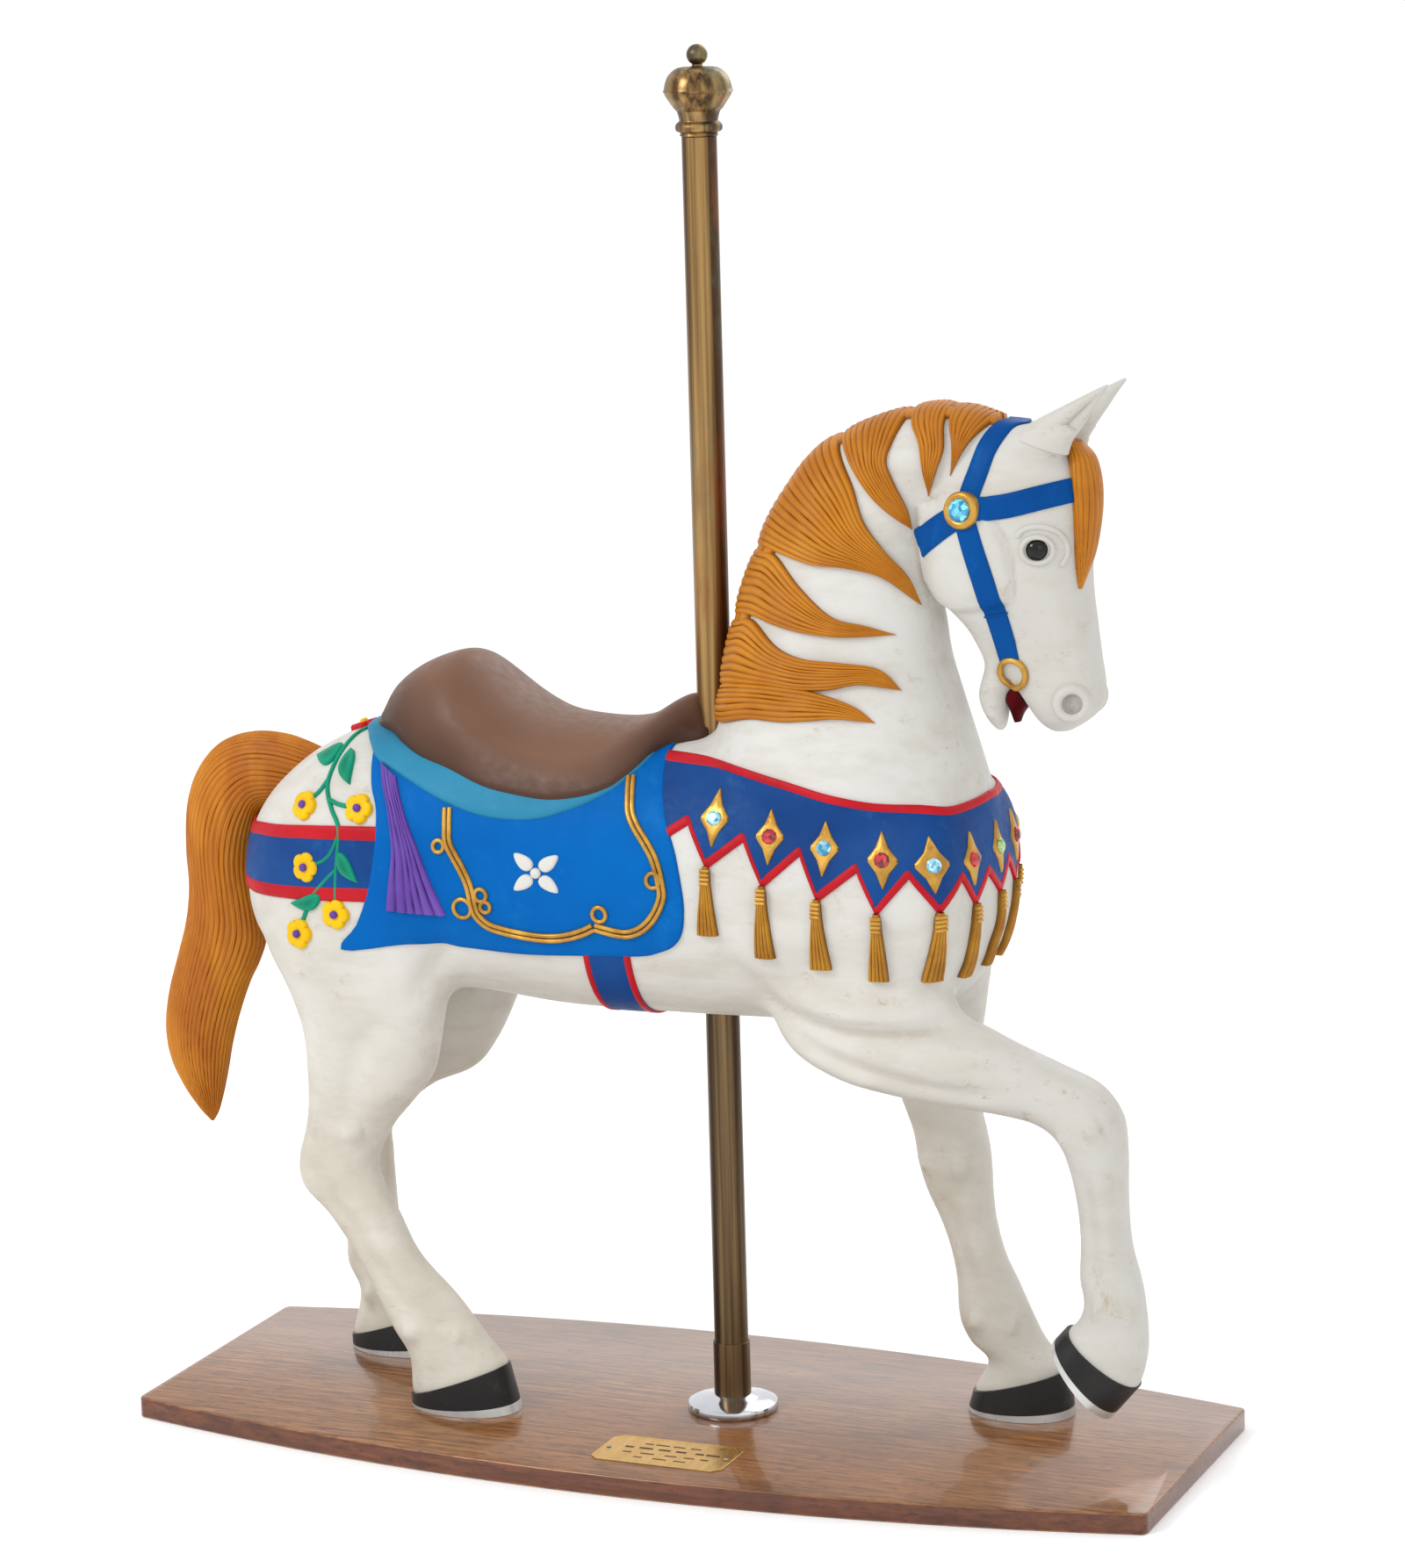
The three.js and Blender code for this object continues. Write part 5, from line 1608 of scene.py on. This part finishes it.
def mane():
    piece = Piece("horse_mane")
    for hand in HANDS:
        chart = NeckChart(hand)
        piece.add(tress(CREST, UNDER_MANE, chart, 2, 5.5, groove=0.4, blunt=True), MANE_PAINT)
        for strands, rise, lower, upper, root in LOCKS:
            piece.add(tress(lower, upper, chart, strands, rise, groove=2.6, root=root), MANE_PAINT)
    piece.add(haired_loft(FORELOCK, 11, 1.6, 132, 8, drift=0.6), MANE_PAINT)
    return piece.make(70)


def tail():
    piece = Piece("horse_tail")
    piece.add(haired_loft(TAIL, 24, 2.6, 330, 7, drift=0.8), TAIL_PAINT)
    return piece.make(80)


# Stand
BOARD_LENGTH = 1212
BOARD_END = 367
BOARD_BULGE = 70.5
BOARD_THICKNESS = 24
BOARD_CORNER = 9
BOW_STEPS = 32
# The board's edge from below: inset and height
BOARD_EDGE = [(2, 0), (0.6, 0.6), (0, 2), (0, 22), (0.6, 23.4), (2, 24)]
POLE_X = 59.3
POLE_TOP = 1451
POLE_RADIUS = 19
# Turned forms round the pole: radius and height
SLEEVE = [(19.3, 42), (20.7, 42), (20.7, 103.5), (19.8, 104.3), (19.3, 104.3)]
FLANGE = [
    (19.3, 0), (50, 0), (51, 1.5), (51, 7), (50.2, 9.2), (48.5, 10), (42, 12.5), (32, 14.2),
    (24, 16.6), (22, 17.6), (20.7, 18), (19.3, 18),
]
CROWN = [
    (0.2, 0), (19.5, 0), (20, 3.92), (24.32, 5.88), (25.46, 9.8), (24.32, 13.72), (21, 16.66),
    (21.28, 19.6), (23.18, 26.46), (26.6, 30.38), (34.58, 42.14), (36.67, 46.55), (38, 48.02),
    (36.86, 49.98), (35.34, 56.84), (31.16, 65.66), (21.28, 73.01), (7.6, 73.99),
]
BALL_RADIUS = 11.4
BALL_MIDDLE = 86.6


def board_outline():
    # Round corners, and a bow along each long side
    half_length, half_end = BOARD_LENGTH / 2 - BOARD_CORNER, BOARD_END / 2
    outline = []
    for side_x, side_y, start in ((1, -1, -90), (1, 1, 0), (-1, 1, 90), (-1, -1, 180)):
        middle = np.array([side_x * half_length, side_y * (half_end - BOARD_CORNER)])
        for step in range(7):
            angle = math.radians(start + step * 15)
            outline.append(middle + BOARD_CORNER * np.array([math.cos(angle), math.sin(angle)]))
        if side_x == side_y:
            for step in range(1, 2 * BOW_STEPS):
                x = side_x * half_length * (1 - step / BOW_STEPS)
                bow = BOARD_BULGE * (1 - (x / half_length) ** 2)
                outline.append(np.array([x, side_y * (half_end + bow)]))
    return np.array(outline)


def board():
    outline = board_outline()
    ahead = np.roll(outline, -1, axis=0) - np.roll(outline, 1, axis=0)
    inwards = unit(np.stack([-ahead[:, 1], ahead[:, 0]], 1))
    rings = []
    for inset, height in BOARD_EDGE:
        rings.append(np.column_stack([outline + inwards * inset, np.full(len(outline), height - LIFT)]))
    points, faces = tube(np.stack(rings))
    around = len(outline)
    side = [face for face in faces if min(face) // around == 2 and max(face) // around == 3]
    flats = [face for face in faces if face not in side]
    piece = Piece("display_board", "board_veneer", ("base_board",))
    piece.add(plain(points, flats + side), BOARD_TOP)
    piece.materials.append(BOARD_RIM)
    piece.which[-len(side):] = [1] * len(side)
    return piece.make(60)


def finial_profile():
    # The crown with a ball on top
    profile = list(CROWN)
    for degrees in range(-60, 91, 10):
        angle = math.radians(degrees)
        radius = max(BALL_RADIUS * math.cos(angle), 0.2)
        profile.append((radius, BALL_MIDDLE + BALL_RADIUS * math.sin(angle)))
    return spline(profile, 3)


def pole():
    piece = Piece("display_pole", "aged_brass", ("pole", "pole_sleeve", "finial"))
    tube_rows = [(POLE_RADIUS, z) for z in (BOARD_THICKNESS, 700, 1150, POLE_TOP - LIFT)]
    for profile, level in ((tube_rows, 0), (SLEEVE, 0), (finial_profile(), POLE_TOP)):
        piece.add(turned(profile, at=(POLE_X, 0, level)), BRASS)
    return piece.make(40)


def flange():
    piece = Piece("floor_flange_ring", "chrome", ("floor_flange",))
    piece.add(turned(FLANGE, at=(POLE_X, 0, BOARD_THICKNESS)), CHROME)
    return piece.make(40)


def block(middle, half):
    points = []
    for corner_z in (-1, 1):
        for corner in ((-1, -1), (1, -1), (1, 1), (-1, 1)):
            points.append(np.array(middle) + np.array([*corner, corner_z]) * half)
    faces = [(0, 3, 2, 1), (4, 5, 6, 7), (0, 1, 5, 4), (1, 2, 6, 5), (2, 3, 7, 6), (3, 0, 4, 7)]
    return plain(np.array(points), faces)


PLAQUE_PLACE = (51, -169)
PLAQUE_HALF = (78, 41)
PLAQUE_CUT = 10
PLAQUE_EDGE = [(0, 0), (0, 0.9), (0.4, 1.2), (3, 1.2), (3.6, 0.95), (4.2, 0.95)]
# Rows of strokes: place across, height and where each stroke starts
PLAQUE_ROWS = [
    (21, 2.6, [-30, -14, 6, 26]), (7, 4.2, [-48, -28, -6, 14, 36, 52]), (-9, 2.6, [-44, -20, 8, 30, 48]),
    (-22, 2.2, [-26, 0, 24]),
]


def plaque():
    # A plate with cut corners, and rows of strokes on it
    half = np.array(PLAQUE_HALF)
    outline = []
    for x, y in ((-1, -1), (1, -1), (1, 1), (-1, 1)):
        cuts = [(x * PLAQUE_CUT, 0), (0, y * PLAQUE_CUT)]
        outline += [half * [x, y] - cut for cut in (cuts[::-1] if x == y else cuts)]
    outline = np.array(outline[1:] + outline[:1])
    rings = []
    for inset, level in PLAQUE_EDGE:
        rings.append(np.column_stack([outline * (half - inset) / half, np.full(len(outline), level)]))
    x, y = PLAQUE_PLACE
    piece = Piece("plaque_plate", "plaque_brass", ("plaque",))
    piece.add(plain(*tube(np.stack(rings) + [x, y, BOARD_THICKNESS])), PLAQUE_BRASS)
    for row, size, starts in PLAQUE_ROWS:
        for k, start in enumerate(starts):
            middle = (x + start, y + row, BOARD_THICKNESS + 1)
            piece.add(block(middle, [5 + (k * 7) % 4, size / 2, 0.12]), INK)
    return piece.make(30)


def screws():
    for name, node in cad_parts.items():
        if name.startswith("plaque_screw"):
            node.data.materials.clear()
            node.data.materials.append(STEEL)


# Studio
# Name, place, size and power
LAMPS = [
    ("key", (-2.2, -3.2, 3.6), 1.6, 85), ("fill", (3.4, -2.6, 2.2), 2.6, 14),
    ("rim", (0.5, 3.2, 3.0), 2.4, 30),
]


def studio_floor():
    mesh = bpy.data.meshes.new("studio_floor")
    mesh.from_pydata([(-9, -9, 0), (9, -9, 0), (9, 9, 0), (-9, 9, 0)], [], [(0, 1, 2, 3)])
    floor = bpy.data.objects.new("studio_floor", mesh)
    bpy.context.scene.collection.objects.link(floor)
    material, tree, shader = nodes_for("studio floor")
    tone = blended(tree, noise(tree, 0.6, 2), colour(254, 254, 254), colour(251, 251, 251))
    finished(tree, shader, tone, None, 0.9)
    shader.inputs["Emission Color"].default_value = (1, 1, 1, 1)
    shader.inputs["Emission Strength"].default_value = 0.02
    mesh.materials.append(material)


def light():
    world = bpy.data.worlds.new("studio")
    bpy.context.scene.world = world
    world.use_nodes = True
    background = world.node_tree.nodes["Background"]
    background.inputs["Color"].default_value = (1, 1, 1, 1)
    background.inputs["Strength"].default_value = 1.03
    bpy.context.scene.view_settings.view_transform = "Standard"
    for name, place, size, power in LAMPS:
        lamp = bpy.data.lights.new(name, "AREA")
        lamp.size = size
        lamp.energy = power
        holder = bpy.data.objects.new(name, lamp)
        holder.location = place
        aim = Vector((0, 0, 0.75)) - Vector(place)
        holder.rotation_euler = aim.to_track_quat("-Z", "Y").to_euler()
        bpy.context.scene.collection.objects.link(holder)


# The photo's view: place in metres, turns in degrees, film width and focal length
CAMERA_PLACE = (2.10189509, -4.773311, 1.78191701)
AZIMUTH, ELEVATION, ROLL = 23.33775, 11.31155, -1.57552
SENSOR_WIDTH = 36
LENS = 110.45


def camera():
    az, el, roll = (math.radians(v) for v in (AZIMUTH, ELEVATION, ROLL))
    back = Vector((math.sin(az) * math.cos(el), -math.cos(az) * math.cos(el), math.sin(el)))
    flat_right = Vector((math.cos(az), math.sin(az), 0))
    flat_up = back.cross(flat_right)
    right = flat_right * math.cos(roll) + flat_up * math.sin(roll)
    up = flat_up * math.cos(roll) - flat_right * math.sin(roll)
    data = bpy.data.cameras.new("camera")
    data.sensor_width = SENSOR_WIDTH
    data.lens = LENS
    data.clip_end = 60
    eye = bpy.data.objects.new("camera", data)
    turn = Matrix((right, up, back)).transposed().to_4x4()
    eye.matrix_world = Matrix.Translation(CAMERA_PLACE) @ turn
    bpy.context.scene.collection.objects.link(eye)
    bpy.context.scene.camera = eye


camera()
studio_floor()
light()
horse_body()
saddle()
tack()
breast()
flowers()
bridle()
mane()
tail()
board()
pole()
flange()
plaque()
eyes()
jewels()
screws()
